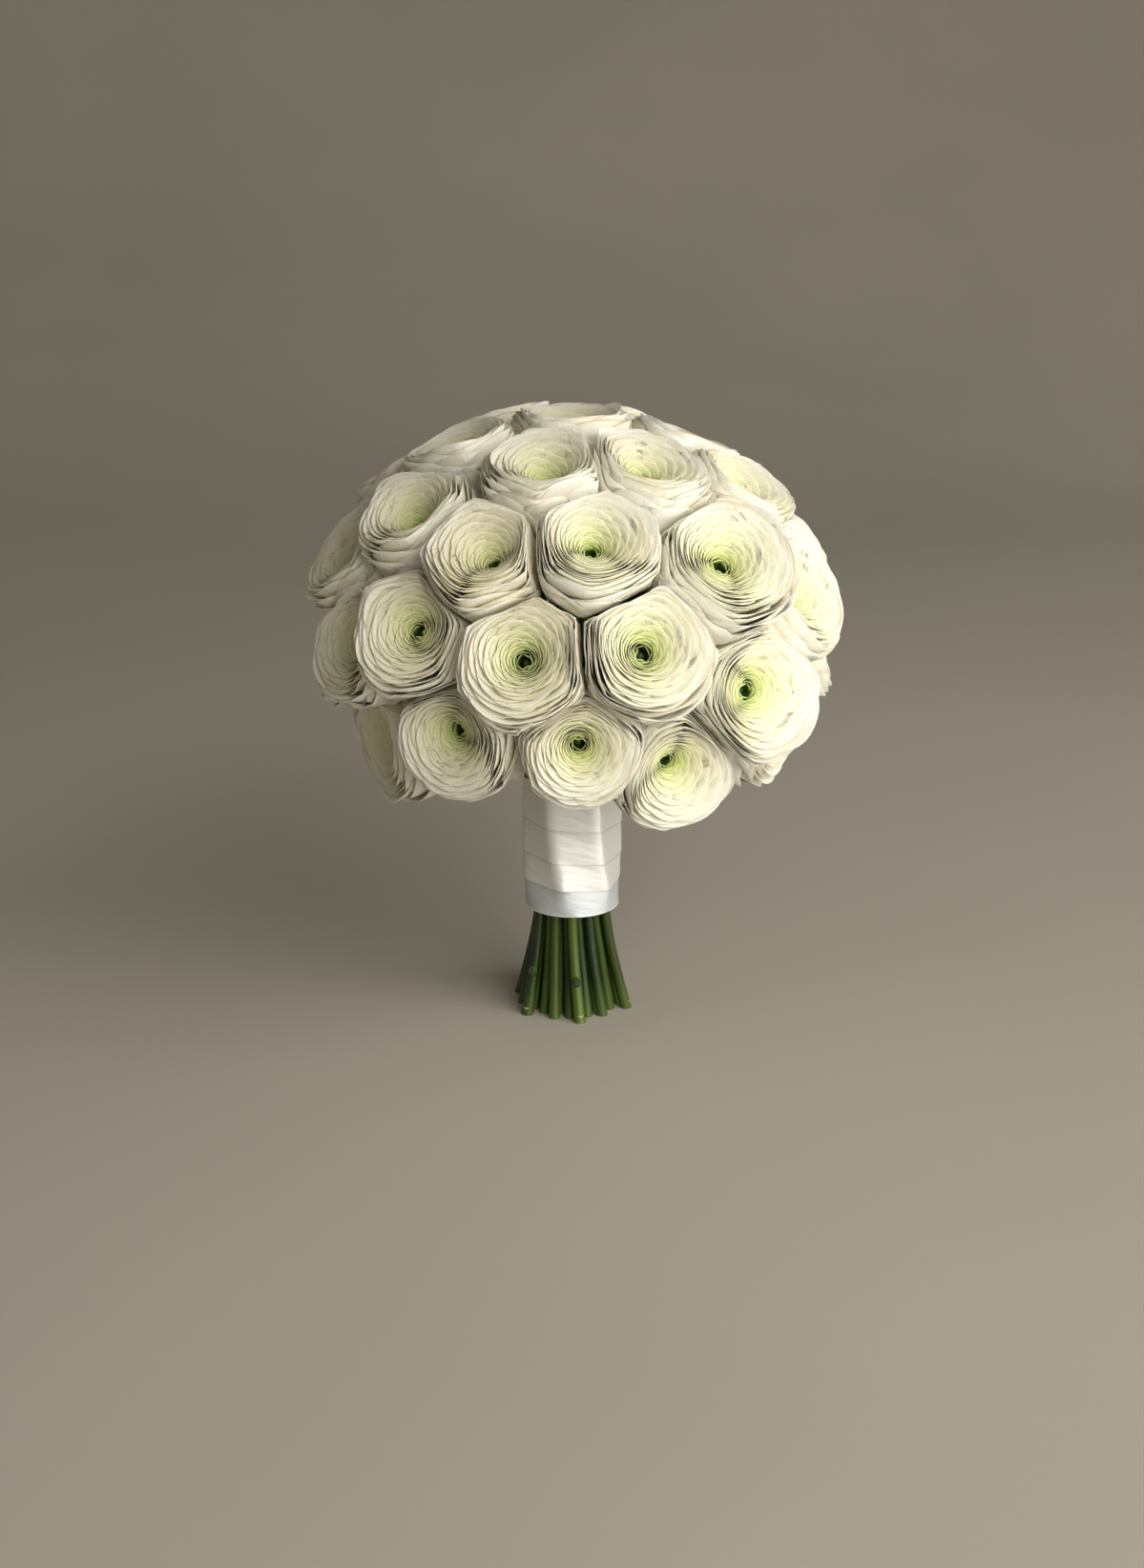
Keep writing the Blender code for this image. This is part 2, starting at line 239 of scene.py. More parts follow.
def make_petal_finish():
    finish = Finish("petal_ivory", Roughness=0.5, Subsurface_Weight=0.7, Subsurface_Scale=GLOW_DEPTH)
    finish.shader.inputs["Subsurface Radius"].default_value = GLOW_COLOUR
    across, along, chance = finish.attribute("leaf")
    spot, tint, share = finish.attribute("spot")
    colour = finish.ramp(spot, PETAL_COLOURS)
    veins = finish.noise(finish.join(across * 7.0, along * 0.7, chance * 40.0), 2.6)
    colour = finish.blend(colour, VEIN_SHADE, finish.step(veins, 0.5, 0.8) * 0.3)
    cream = finish.step(tint + chance * 0.4, 0.7, 1.4)
    colour = finish.blend(colour, OLD_CREAM, cream * 0.45)
    foot = 1.0 - finish.step(along, 0.10, 0.5)
    colour = finish.blend(colour, FOOT_LIME, foot * 0.8)
    # Low on the youngest petals, deep in the pit: their own green plus painted shade.
    heart = finish.step(share, 0.86, 0.98) * (1.0 - finish.step(along, 0.70, 0.92))
    colour = finish.blend(colour, HEART_GREEN_AND_PAINTED_SHADE, heart * 0.9)
    # The rim band: painted paler as a painted glow, and tan on some petals as their own colour.
    rim = finish.step(along, 0.955, 0.995)
    tan = finish.step(chance, 0.72, 0.95) * finish.step(spot, 0.45, 0.75)
    colour = finish.blend(colour, RIM_PAINTED_GLOW, rim * 0.6)
    colour = finish.blend(colour, RIM_TAN, rim * tan * 0.8)
    finish.colour(colour)
    creases = finish.noise(finish.join(across * 2.4, along * 0.5, chance * 25.0), 2.4)
    finish.bump(veins * 0.35 + creases, 1.0 * MM, 0.3)
    return finish.material


petal_finish = make_petal_finish()
print("made", petal_finish.name)

# %% [markdown]
# The eye of a bloom is a pit with a dark green knob of seed cases in it. Each case could be a ball of its
# own, but they are smaller than a millimetre here. A fine noise gives the knob its pebbles, and it is
# nearly matt.

# %% Eye finish
EYE_COLOURS = [(0.35, (0.018, 0.040, 0.008)), (0.75, (0.09, 0.15, 0.03))]


def make_pebbled_finish(name, roughness, colours, scale, detail, relief):
    finish = Finish(name, Roughness=roughness)
    grain = finish.noise(finish.place(), scale, detail)
    finish.colour(finish.ramp(grain, colours))
    finish.bump(grain, relief, 0.8)
    return finish.material


eye_finish = make_pebbled_finish(
    "eye_green", roughness=0.6, colours=EYE_COLOURS, scale=900.0, detail=2.0, relief=0.5 * MM,
)
print("made", eye_finish.name)

# %% [markdown]
# A few small sums come back in most of the pieces: a smooth step from 0 to 1, a value on the way from one
# to another, a value held below a limit, and a point on a cubic curve with two handles. The step and the
# limit could be plain clips, but a clip leaves a crease where it starts, and these bend smoothly. The
# curve could be one of Blender's own, but its points are needed inside other sums. All of them take whole
# arrays of points at once.

# %% Sums on numbers and arrays


def ease(value, start, end):
    """0 before start, 1 after end and smooth between them."""
    value = np.clip((value - start) / (end - start), 0.0, 1.0)
    return value * value * (3 - 2 * value)


def between(first, last, share):
    """The value a share of the way from the first to the last."""
    return first + (last - first) * share


def hold_below(value, limit, power):
    """The value, bent to stay below its limit: the lower the power, the rounder the bend."""
    return value / (1 + (value / limit) ** power) ** (1 / power)


def cubic_curve(start, out, back, end, share):
    """The point a share of the way along a curve with two handles, and which way it runs there."""
    rest = 1 - share
    place = start * rest ** 3 + out * 3 * rest ** 2 * share + back * 3 * rest * share ** 2 + end * share ** 3
    run = (out - start) * rest ** 2 + (back - out) * 2 * rest * share + (end - back) * share ** 2
    return place, run


print("half way up a smooth step:", ease(0.5, 0, 1))

# %% [markdown]
# Where the blooms sit is the frame's own rule, repeated here with the same places and the same seeded
# draws: rims on a flattened ball round the binding. The places could be read back from the solids, but a
# rule can be asked for more, such as which way a bloom faces. The front follows the photograph bloom by
# bloom, and the far side repeats it, turned by half a turn.

# %% Places of the blooms
SEED = 43
DOME_CENTRE = Vector((0.0, 0.0, 0.203))
DOME_RADIUS = 0.119
DOME_RISE = 0.097
BINDING_Z = 0.122
SLOPE_SHARE = 0.45
BLOOM_DEPTH = 40 * MM
BLOOM_RADIUS = 34.5 * MM
SIZE_SPREAD = 0.02
# The frame draws a few lips for each bloom, and the same draws are used up here to keep in step with it.
LIPS = 10
LIP_SPREAD = 0.5

# Each bloom's direction round the bouquet, its angle down from the crown, its size and how far it is turned.
CROWN_PLACES = [
    (0, 0, 1.0, 0), (-73, 28, 0.98, 0), (-11, 31, 1.0, 0), (36, 31, 1.0, 0),
    (104, 29, 0.98, 0), (157, 31, 1.0, 0), (217, 30, 1.02, 0),
]
SIDE_PLACES = [
    (-53, 50, 0.98, 12), (75, 45, 1.0, -8), (6, 54, 1.0, 0), (-23, 58, 0.98, 6),
    (41, 62, 1.08, -20), (-76, 67, 1.0, 8), (70, 77, 1.0, -14), (-38, 81, 1.0, 16),
    (16, 83, 1.0, -4), (-11, 85, 1.04, 0), (-60, 89, 0.98, 8), (-91, 96, 1.0, 0),
    (48, 101, 1.06, -18), (2, 112, 0.9, 0), (-30, 112, 0.94, 4), (-64, 121, 0.98, 0),
    (31, 125, 0.96, -10), (72, 119, 1.0, -6),
]
print("places on the crown:", len(CROWN_PLACES), "on each side:", len(SIDE_PLACES))

# %% Blooms in their places


class Bloom:
    """Where one bloom sits and which way it faces."""

    def __init__(self, number, azimuth, polar, size, turn, rng):
        self.number = number
        self.azimuth = math.radians(azimuth)
        self.polar = math.radians(polar)
        self.size = size + rng.uniform(-SIZE_SPREAD, SIZE_SPREAD)
        self.spin = rng.uniform(0, 2 * math.pi)
        for _ in range(LIPS):
            rng.uniform(-LIP_SPREAD, LIP_SPREAD)
        across = DOME_RADIUS * math.sin(self.polar)
        rise = DOME_RISE * math.cos(self.polar)
        offset = Vector((across * math.sin(self.azimuth), -across * math.cos(self.azimuth), rise))
        rim = DOME_CENTRE + offset
        x, y, z = offset
        slope = Vector((x / DOME_RADIUS ** 2, y / DOME_RADIUS ** 2, z / DOME_RISE ** 2)).normalized()
        from_binding = (rim - Vector((0, 0, BINDING_Z))).normalized()
        self.axis = slope.lerp(from_binding, 1 - SLOPE_SHARE).normalized()
        self.axis.rotate(Euler((0, 0, math.radians(turn))))
        self.foot = rim - self.axis * BLOOM_DEPTH
        self.middle = rim - self.axis * BLOOM_DEPTH * 0.5
        side = Vector((0, 0, 1)) if abs(self.axis.z) < 0.9 else Vector((0, 1, 0))
        self.right = self.axis.cross(side).normalized()
        self.up = self.axis.cross(self.right)

    def direction(self, angle):
        return np.outer(np.cos(angle), self.right) + np.outer(np.sin(angle), self.up)

    def axis_points(self, height):
        return np.array(self.foot) + np.outer(height, self.axis)

    def points(self, radius, height, angle):
        return self.axis_points(height) + self.direction(angle) * radius[:, None]


def place_blooms(rng):
    places = CROWN_PLACES + SIDE_PLACES
    places += [(azimuth + 180, polar, size, turn) for azimuth, polar, size, turn in SIDE_PLACES]
    return [Bloom(number, *place, rng) for number, place in enumerate(places)]


draws = random.Random(SEED)
blooms = place_blooms(draws)
print("blooms:", len(blooms))

# %% [markdown]
# Blooms that are tied together press flat against each other. A simulation could find out where they
# touch, but a flat wall halfway to each neighbour says it at once: petals that are kept inside their
# walls never run through the next bloom. Real blooms also lie over one another at the rim. So near its
# top each wall follows the round outline of the bloom that was tied in later, and leans towards the
# other.

# %% The room of each bloom
BLOOM_GAP = 0.4 * MM
NEIGHBOUR_RANGE = 0.120
# The reach on a side with no neighbour, in metres: far more than a petal's.
OPEN_SIDE = 1.0
# Laps grow between these heights above the foot.
LAP_START = 14 * MM
LAP_END = 30 * MM
LAP = 3.0 * MM
LEAST_CLOSING = 0.25
LEAST_ROOM = 1 * MM
# How far a bloom's round outline stands past its mean room.
ROUNDNESS = 1.09
ROOM_LEVELS = (5 * MM, 15 * MM, 25 * MM, 35 * MM, 45 * MM)
# Angles all round a bloom, over which means are taken.
AROUND = np.linspace(0, 2 * math.pi, 48, endpoint=False)
GUARD_REACH = 39 * MM
TINY = 1e-6


def find_walls(bloom, blooms, tied):
    """A bloom's walls: normal, distance, the line along the seam, and the bloom on top."""
    walls = []
    for other in blooms:
        towards = other.middle - bloom.middle
        apart = towards.length
        if other is not bloom and apart < NEIGHBOUR_RANGE:
            normal = towards / apart
            seam = (bloom.axis + other.axis).cross(normal).normalized()
            distance = bloom.size / (bloom.size + other.size) * apart - BLOOM_GAP / 2
            top = bloom if tied[bloom.number] > tied[other.number] else other
            walls.append((np.array(normal), distance, np.array(seam), top))
    return walls


def find_room(bloom, height, angle, lapped=True):
    """How far petals may reach from the axis at these heights and angles."""
    direction = bloom.direction(angle)
    start = bloom.axis_points(height)
    rise = ease(height, LAP_START, LAP_END)
    nearest = np.full(len(height), OPEN_SIDE)
    for normal, distance, seam, top in bloom.walls:
        closing = direction @ normal
        gap = distance - (start - np.array(bloom.middle)) @ normal
        reach = gap / np.maximum(closing, TINY)
        if lapped:
            from_top = start + direction * reach[:, None] - top.axis_points(height)
            circle = ROUNDNESS * np.interp(height, ROOM_LEVELS, top.mean_room)
            arc = np.sqrt(np.maximum(circle ** 2 - (from_top @ seam) ** 2, 0))
            lap = rise * np.clip(arc - np.abs(from_top @ normal), 0, LAP) * (1 if top is bloom else -1)
            reach = reach + lap / np.maximum(closing, LEAST_CLOSING)
        nearest = np.minimum(nearest, np.where(closing > TINY, reach, OPEN_SIDE))
    return np.maximum(nearest, LEAST_ROOM)


def measure_room(bloom):
    """The mean room at a few heights, over the sides that have a neighbour."""
    means = []
    for level in ROOM_LEVELS:
        room = find_room(bloom, np.full(len(AROUND), level), AROUND, lapped=False)
        means.append(room[room < GUARD_REACH].mean())
    return means


tied = list(range(len(blooms)))
random.Random(SEED + 1).shuffle(tied)
for bloom in blooms:
    bloom.walls = find_walls(bloom, blooms, tied)
for bloom in blooms:
    bloom.mean_room = measure_room(bloom)
print("walls of the first blooms:", [len(bloom.walls) for bloom in blooms][:10])

# %% [markdown]
# Seen from its side, a bloom is a nest of cups. The oldest petals hug it from outside with upright tips
# and show their white backs, the next ones make its crest, and the youngest close over the eye at the
# bottom of the bowl. Each cup could be a curve drawn by hand, but a hundred of them would have to be kept
# from crossing. Here one cubic curve gives every cup, and its handles slide evenly from the outermost
# petal to the innermost.

# %% The nest of cups
# From the outermost petal to the innermost, in millimetres and degrees from the axis.
CUP_SHARES = (0.0, 0.06, 0.12, 0.18, 0.26, 0.40, 0.55, 0.70, 0.85, 1.0)
CUP_EDGE_RADIUS = (34.4, 33.4, 32.2, 30.8, 28.8, 25.0, 19.8, 14.0, 8.0, 2.7)
CUP_EDGE_HEIGHT = (30.0, 33.5, 36.4, 38.6, 40.0, 39.7, 37.6, 33.8, 29.4, 26.0)
CUP_EDGE_LEAN = (-8.0, -4.0, 2.0, 12.0, 27.0, 39.0, 41.0, 36.0, 20.0, -14.0)
CUP_EDGE_REACH = (15.0, 15.5, 15.5, 15.0, 14.0, 12.0, 11.0, 9.5, 7.5, 5.5)
CUP_FOOT_RADIUS = (3.6, 3.5, 3.4, 3.3, 3.1, 2.8, 2.5, 2.2, 1.9, 1.6)
CUP_FOOT_HEIGHT = (0.8, 1.3, 1.9, 2.5, 3.2, 4.4, 5.8, 7.2, 8.6, 10.0)
CUP_FOOT_LEAN = (86.0, 81.0, 76.0, 71.0, 65.0, 57.0, 49.0, 42.0, 36.0, 30.0)
CUP_FOOT_REACH = (26.0, 25.5, 24.5, 23.5, 22.0, 19.0, 16.0, 13.0, 10.0, 8.0)


def cup_curve(share, along, lean, lift):
    """Radius and height, in metres, along the cups of these shares, and the unit normal."""
    def pick(row):
        return np.interp(share, CUP_SHARES, row)

    tip = np.radians(pick(CUP_EDGE_LEAN) + lean)
    base = np.radians(pick(CUP_FOOT_LEAN))
    foot = np.stack([pick(CUP_FOOT_RADIUS), pick(CUP_FOOT_HEIGHT)])
    edge = np.stack([pick(CUP_EDGE_RADIUS), pick(CUP_EDGE_HEIGHT) + lift])
    out = foot + pick(CUP_FOOT_REACH) * np.stack([np.sin(base), np.cos(base)])
    back = edge - pick(CUP_EDGE_REACH) * np.stack([np.sin(tip), np.cos(tip)])
    place, run = cubic_curve(foot, out, back, edge, along)
    run = run / np.maximum(np.linalg.norm(run, axis=0), TINY)
    normal = np.stack([run[1], -run[0]])
    return place * MM, normal


print("cups given in full:", len(CUP_SHARES))

# %% [markdown]
# Every piece below goes through the same few steps. Its points are read and set as one block of numbers,
# it gets the numbers that its finish reads, it takes the place of its solid, and a sheet gets a wall. As
# helpers, these steps are the same for a petal and for a ribbon.

# %% Helpers for the pieces


def lay_grid(bm, across, along):
    """The vertices of a flat grid from -1 to 1, with this many faces across and along."""
    return bmesh.ops.create_grid(bm, x_segments=across, y_segments=along, size=1.0)["verts"]


def across_and_up(flat):
    """Where each point of a flat grid lies: across from -1 to 1, and up from 0 to 1."""
    return flat[:, 0], (flat[:, 1] + 1) / 2


def shade_smooth(bm):
    for face in bm.faces:
        face.smooth = True


def make_mesh(name, bm, *finishes):
    """Turns a bmesh into a mesh with its finishes, and frees it."""
    mesh = bpy.data.meshes.new(name)
    bm.to_mesh(mesh)
    bm.free()
    for finish in finishes:
        mesh.materials.append(finish)
    return mesh


def coordinates(mesh):
    places = np.zeros(len(mesh.vertices) * 3)
    mesh.vertices.foreach_get("co", places)
    return places.reshape(-1, 3)


def set_coordinates(mesh, places):
    mesh.vertices.foreach_set("co", np.asarray(places, dtype=float).ravel())
    mesh.update()


def set_attribute(mesh, name, columns):
    attribute = mesh.attributes.new(name, "FLOAT_VECTOR", "POINT")
    attribute.data.foreach_set("vector", np.stack(columns, axis=1).ravel())


def link_piece(name, mesh, slot, *nodes):
    """Puts a mesh in the scene as a piece of the bouquet that stands for some frame nodes."""
    piece = bpy.data.objects.new(name, mesh)
    bpy.context.scene.collection.objects.link(piece)
    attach(piece, "root")
    if nodes:
        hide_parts(*nodes)
    return piece


def give_wall(piece, thickness, offset=0.0):
    """Turns a sheet into a closed shell, with a Solidify modifier that is applied at once."""
    wall = piece.modifiers.new("wall", "SOLIDIFY")
    wall.thickness = thickness
    wall.offset = offset
    graph = bpy.context.evaluated_depsgraph_get()
    shell = bpy.data.meshes.new_from_object(piece.evaluated_get(graph))
    piece.modifiers.clear()
    sheet = piece.data
    piece.data = shell
    bpy.data.meshes.remove(sheet)


print("helpers ready")

# %% [markdown]
# The petals of one bloom are first laid flat, as a stack of small grids: x runs across a petal, y from
# its foot to its tip, and the height in the stack is the petal's number. Each petal could be an object of
# its own, but one mesh for each bloom keeps the scene light. Old petals get more faces, because they show
# more. The stack is the same for every bloom, so it is made once and copied.

# %% Flat petals in a stack
# How many petals have each grid, and the grid's faces across and along.
PETAL_GRIDS = [(16, 14, 5), (36, 10, 4), (52, 8, 3)]
PETALS = sum(count for count, _, _ in PETAL_GRIDS)


def lay_petals():
    bm = bmesh.new()
    number = 0
    for count, across, along in PETAL_GRIDS:
        for _ in range(count):
            bmesh.ops.translate(bm, verts=lay_grid(bm, across, along), vec=(0, 0, number))
            number += 1
    shade_smooth(bm)
    return make_mesh("flat_petals", bm)


flat_petals = lay_petals()
print("flat petals:", PETALS, "vertices:", len(flat_petals.vertices))

# %% [markdown]
# Each petal gets its own habits: how wide it is, how its tip leans, how far its corners drop and how its
# rim waves. They could be set petal by petal with the mouse. Seeded draws give the same variety, and the
# same bloom each time. Young petals wrap nearly half way round, and the habits fade towards the eye,
# where the cups lie close together. About one old petal in twelve stands a little proud of the others, as
# some in the photograph do. The petals follow one another by the golden turn, as real ones do when they
# grow, so they overlap in a spiral without any being told where the others are.

# %% Habits of the petals
GOLDEN_TURN = math.radians(137.508)
# Shares run from 0 for the oldest petal to 1 for the youngest, and widths are in degrees.
HABIT_SHARES = (0, 0.3, 1)
WIDTH_SHARES = (0, 0.3, 0.82, 1)
HALF_WIDTHS = (56, 72, 84, 62)
GUARD_SHARE = 0.2
PROUD_SHARES = (0, 0.06, 0.26, 0.4)
PROUD_AMOUNT = (0.5, 1, 1, 0)
PROUD_CHANCE = 0.84
PROUD_LIFT = 3.2
CLOSED_SHARE = 0.82


def petal_habits(bloom, rng):
    """One number of each habit for each petal: degrees for leans, and millimetres for lifts."""
    draw = rng.uniform(-1, 1, (8, PETALS))
    open_bloom = rng.uniform(0, 1)
    shallow = rng.uniform(-1.8, 2.4)
    share = np.clip((np.arange(PETALS) + 0.5 * rng.uniform(-1, 1, PETALS)) / (PETALS - 1), 0, 1)

    def fade(old, middle, young):
        """A strength that changes from old petals to young ones."""
        return np.interp(share, HABIT_SHARES, (old, middle, young))

    half = np.interp(share, WIDTH_SHARES, HALF_WIDTHS)
    oldest = np.clip(1 - share / GUARD_SHARE, 0, 1)
    proud = PROUD_LIFT * ease(draw[2], PROUD_CHANCE, 1) * np.interp(share, PROUD_SHARES, PROUD_AMOUNT)
    lift = draw[2] * fade(1.0, 0.5, 0.25) + proud - 2.0 * open_bloom * oldest
    return {
        "share": share,
        "angle": bloom.spin + np.arange(PETALS) * GOLDEN_TURN + draw[0] * np.radians(5),
        "half": np.radians(half) * (1 + 0.12 * draw[1]),
        "lift": lift + shallow * np.sin(math.pi * share),
        "lean": draw[3] * fade(3.5, 1.5, 2) + 10 * open_bloom * oldest,
        "oldest": oldest,
        "loose": ROUNDNESS + 0.04 * draw[7],
        "wave": (1 + 0.5 * draw[4]) * fade(0.5, 0.16, 0.06) * MM,
        "ripples": 1.5 + 0.7 * draw[5],
        "phase": draw[6] * math.pi,
        "drop": fade(0.13, 0.09, 0.07) * (1 + 0.4 * draw[5]),
        "curl": np.maximum(0, draw[4]) * fade(0.9, 0.2, 0.0) * MM,
        "twist": fade(0.6, 0.4, 0.25) * MM,
        "chord": 0.6 * ease(share, CLOSED_SHARE, 1),
        "chance": rng.uniform(0, 1, PETALS),
    }


print("old petals that guard a bloom:", round(GUARD_SHARE * PETALS))

# %% [markdown]
# In a bunch a bloom isn't round: it is pressed in where a neighbour is close. The young petals stay
# rounder than the room, and the oldest ones spread into its corners low down. Cutting petals off at the
# walls would leave straight edges, so each radius is squeezed instead, the more the nearer it comes to
# the wall. The eye stands a little off the middle, and the petals round it move with it.

# %% Press the petals into their room
# The bloom's widest outline: height above the foot, and radius as a share.
OUTLINE_Z = (0.0, 5 * MM, 18 * MM, 33.5 * MM)
OUTLINE_SHARE = (0.13, 0.60, 0.93, 1.00)
SQUEEZE_POWER = 10.0
SQUEEZE_TOP = 32 * MM
# Petals inside this share of the radius are squeezed evenly, by the mean at this height.
ROUND_SHARE = 0.5
EVEN_LEVEL = 29 * MM
GUARD_FADE = 4 * MM
# The oldest petals fill the corners up to the first height, and no more above the second.
GUARD_FILL_START = 8 * MM
GUARD_FILL_END = 24 * MM
PRESS_POWER = 16
HEART_REACH = 19 * MM
HEART_LEVEL = 22 * MM


def squeeze(bloom, height, angle):
    """The factor that keeps the widest outline inside its walls."""
    outline = BLOOM_RADIUS * bloom.size * np.interp(height, OUTLINE_Z, OUTLINE_SHARE)
    room = find_room(bloom, height, angle, lapped=False)
    return hold_below(outline, room, SQUEEZE_POWER) / outline


def heart_shift(bloom, radius, height):
    """How far the eye of a bloom stands off its middle, and the petals round it with it."""
    near = np.clip(1 - (radius / HEART_REACH) ** 2, 0, 1)
    return np.outer(near * ease(height, 0, HEART_LEVEL), bloom.heart)


def press(bloom, radius, height, angle, guard, loose):
    """The points of petals in their room. Guard is 1 for the oldest petals and 0 for young ones."""
    factor = squeeze(bloom, np.clip(height, 0, SQUEEZE_TOP), angle)
    even = squeeze(bloom, np.full(len(AROUND), EVEN_LEVEL), AROUND).mean()
    share = ease(radius / (BLOOM_RADIUS * bloom.size), ROUND_SHARE, 1)
    radius = radius * between(even, factor, share)
    guard = guard * (1 - ease(height, GUARD_FILL_START, GUARD_FILL_END))
    room = find_room(bloom, height, angle)
    walled = 1 - ease(room, GUARD_REACH, GUARD_REACH + GUARD_FADE)
    cap = loose * np.interp(height, ROOM_LEVELS, bloom.mean_room)
    rounded = between(room, np.minimum(room, cap), walled * (1 - guard))
    radius = radius + guard * walled * np.maximum(0, np.minimum(room, GUARD_REACH) - radius)
    radius = hold_below(radius, rounded, PRESS_POWER)
    return bloom.points(radius, height, angle) + heart_shift(bloom, radius, height)


print("room of the first bloom:", [round(room / MM, 1) for room in blooms[0].mean_room], "mm")

# %% [markdown]
# Now the stack is bent. Each point slides along its petal's cup and turns round the axis by its place
# across the petal. A petal is narrow at its foot, the claw, and rounds off at its tip. Along the cup's
# normal it gets its wave, its curl and a slight twist, which keeps one side of it under its neighbour. A
# cloth simulation could do this too, but not for four thousand petals in a few seconds.

# %% Bend the petals
ROW_POWER = 0.8
CORNER_POWER = 2.2
CLAW_WIDTH = 0.55
CLAW_END = 0.6
TIP_NARROWING = 0.42
TIP_POWER = 2.5
CURL_START = 0.7
WIDEST_CHORD = 0.8


def bend_petals(bloom, flat, rng):
    """Points of the bent petals, with the two attributes that the finish reads."""
    habits = petal_habits(bloom, rng)
    number = np.rint(flat[:, 2]).astype(int)
    own = {name: values[number] for name, values in habits.items()}
    across, up = across_and_up(flat)
    along = up ** ROW_POWER * (1 - own["drop"] * np.abs(across) ** CORNER_POWER)
    claw = between(CLAW_WIDTH, 1, ease(up, 0, CLAW_END))
    tip = 1 - TIP_NARROWING * np.clip((up - CLAW_END) / (1 - CLAW_END), 0, 1) ** TIP_POWER
    off = own["half"] * across * claw * tip
    angle = own["angle"] + off
    (radius, height), (out, rise) = cup_curve(own["share"], along, own["lean"], own["lift"])
    push = own["wave"] * np.sin(own["ripples"] * math.pi * across + own["phase"]) * up ** TIP_POWER
    push += own["twist"] * across * up
    push += own["curl"] * np.clip((up - CURL_START) / (1 - CURL_START), 0, 1) ** 2
    radius = radius + out * push
    height = height + rise * push
    straight = 1 / np.cos(np.clip(off, -WIDEST_CHORD, WIDEST_CHORD))
    radius = radius * (1 + own["chord"] * (straight - 1))
    spot = radius / BLOOM_RADIUS
    guard = own["oldest"] * ease(up, 0, 0.5)
    points = press(bloom, radius * bloom.size, height, angle, guard, own["loose"])
    tint = np.full(len(across), rng.uniform(0, 1))
    return points, [across, up, own["chance"]], [spot, tint, own["share"]]


print("a petal's claw is", CLAW_WIDTH, "of its width")

# %% [markdown]
# A bloom is the bent stack with a wall of a sixth of a millimetre, and a low knob in its eye. The wall
# makes each petal a closed shell. A sheet would do for a picture, but not for a printed or a measured
# model.

# %% Blooms
PETAL_WALL = 0.17 * MM
HEART_OFFSET = 2.6 * MM
EYE_RADIUS = 2.0 * MM
EYE_HEIGHT = 20.0 * MM
EYE_FINISH_NUMBER = 1


def add_eye(bm, bloom):
    """A low knob of seed cases at the bottom of the pit."""
    ball = bmesh.ops.create_icosphere(bm, subdivisions=2, radius=EYE_RADIUS)
    turn = Vector((0, 0, 1)).rotation_difference(bloom.axis).to_matrix()
    place = bloom.foot + bloom.axis * EYE_HEIGHT + Vector(bloom.heart)
    bmesh.ops.rotate(bm, verts=ball["verts"], cent=(0, 0, 0), matrix=turn)
    bmesh.ops.translate(bm, verts=ball["verts"], vec=place)
    for face in {face for vert in ball["verts"] for face in vert.link_faces}:
        face.material_index = EYE_FINISH_NUMBER
        face.smooth = True


def make_bloom(bloom, flat_mesh):
    name = f"bloom_{bloom.number + 1:02d}"
    mesh = flat_mesh.copy()
    mesh.name = name + "_petals"
    rng = np.random.default_rng(SEED + bloom.number)
    side, over = rng.uniform(-1, 1, 2) * HEART_OFFSET
    bloom.heart = np.array(bloom.right * side + bloom.up * over)
    points, leaf, spot = bend_petals(bloom, coordinates(mesh), rng)
    set_coordinates(mesh, points)
    set_attribute(mesh, "leaf", leaf)
    set_attribute(mesh, "spot", spot)
    mesh.materials.append(petal_finish)
    mesh.materials.append(eye_finish)
    piece = link_piece(name + "_petals", mesh, "petals", name)
    give_wall(piece, PETAL_WALL)
    bm = bmesh.new()
    bm.from_mesh(piece.data)
    add_eye(bm, bloom)
    bm.to_mesh(piece.data)
    bm.free()
    return piece


bloom_pieces = [make_bloom(bloom, flat_petals) for bloom in blooms]
bpy.data.meshes.remove(flat_petals)
print("bloom faces:", len(bloom_pieces[0].data.polygons), "each")

# %% [markdown]
# Under the ribbon the stems stand in a hexagonal bunch, the closest way to pack round rods. The frame
# holds them as seven small bunches, each a middle stem with those round it. Which stem goes to which
# bloom could be listed by hand. Here a rough match by height is mended by swaps, as long as a swap makes
# the whole fan shorter, so that no stem crosses the bunch to reach its bloom.

# %% The bunch of stems
OUTER_SHELL = 12
BUNCHES = 7
STRAIN_GAIN = 1e-9


def shell(cell):
    """The square of a cell's distance from the middle of the bunch."""
    a, b = cell
    return a * a + a * b + b * b


def hexagonal_bunch():
    """Cells (a, b) of a hexagonal bunch, from the middle outwards."""
    reach = range(-4, 5)
    cells = [(a, b) for a in reach for b in reach if shell((a, b)) <= OUTER_SHELL]

    def order(cell):
        a, b = cell
        return shell(cell), math.atan2(b * math.sqrt(3), 2 * a + b)

    return sorted(cells, key=order)


def cell_place(cell, pitch):
    """Where a cell is, when neighbours stand a pitch apart."""
    a, b = cell
    return Vector(((a + b / 2) * pitch, b * math.sqrt(3) / 2 * pitch))


def bunch_middles():
    """The middle cells of the seven small bunches that the whole bunch is made of."""
    middles = [(0, 0), (2, 1)]
    while len(middles) < BUNCHES:
        a, b = middles[-1]
        middles.append((-b, a + b))
    return middles


def bunch_of(cell, middles):
    place = cell_place(cell, 1)
    away = [(place - cell_place(middle, 1)).length for middle in middles]
    return away.index(min(away))


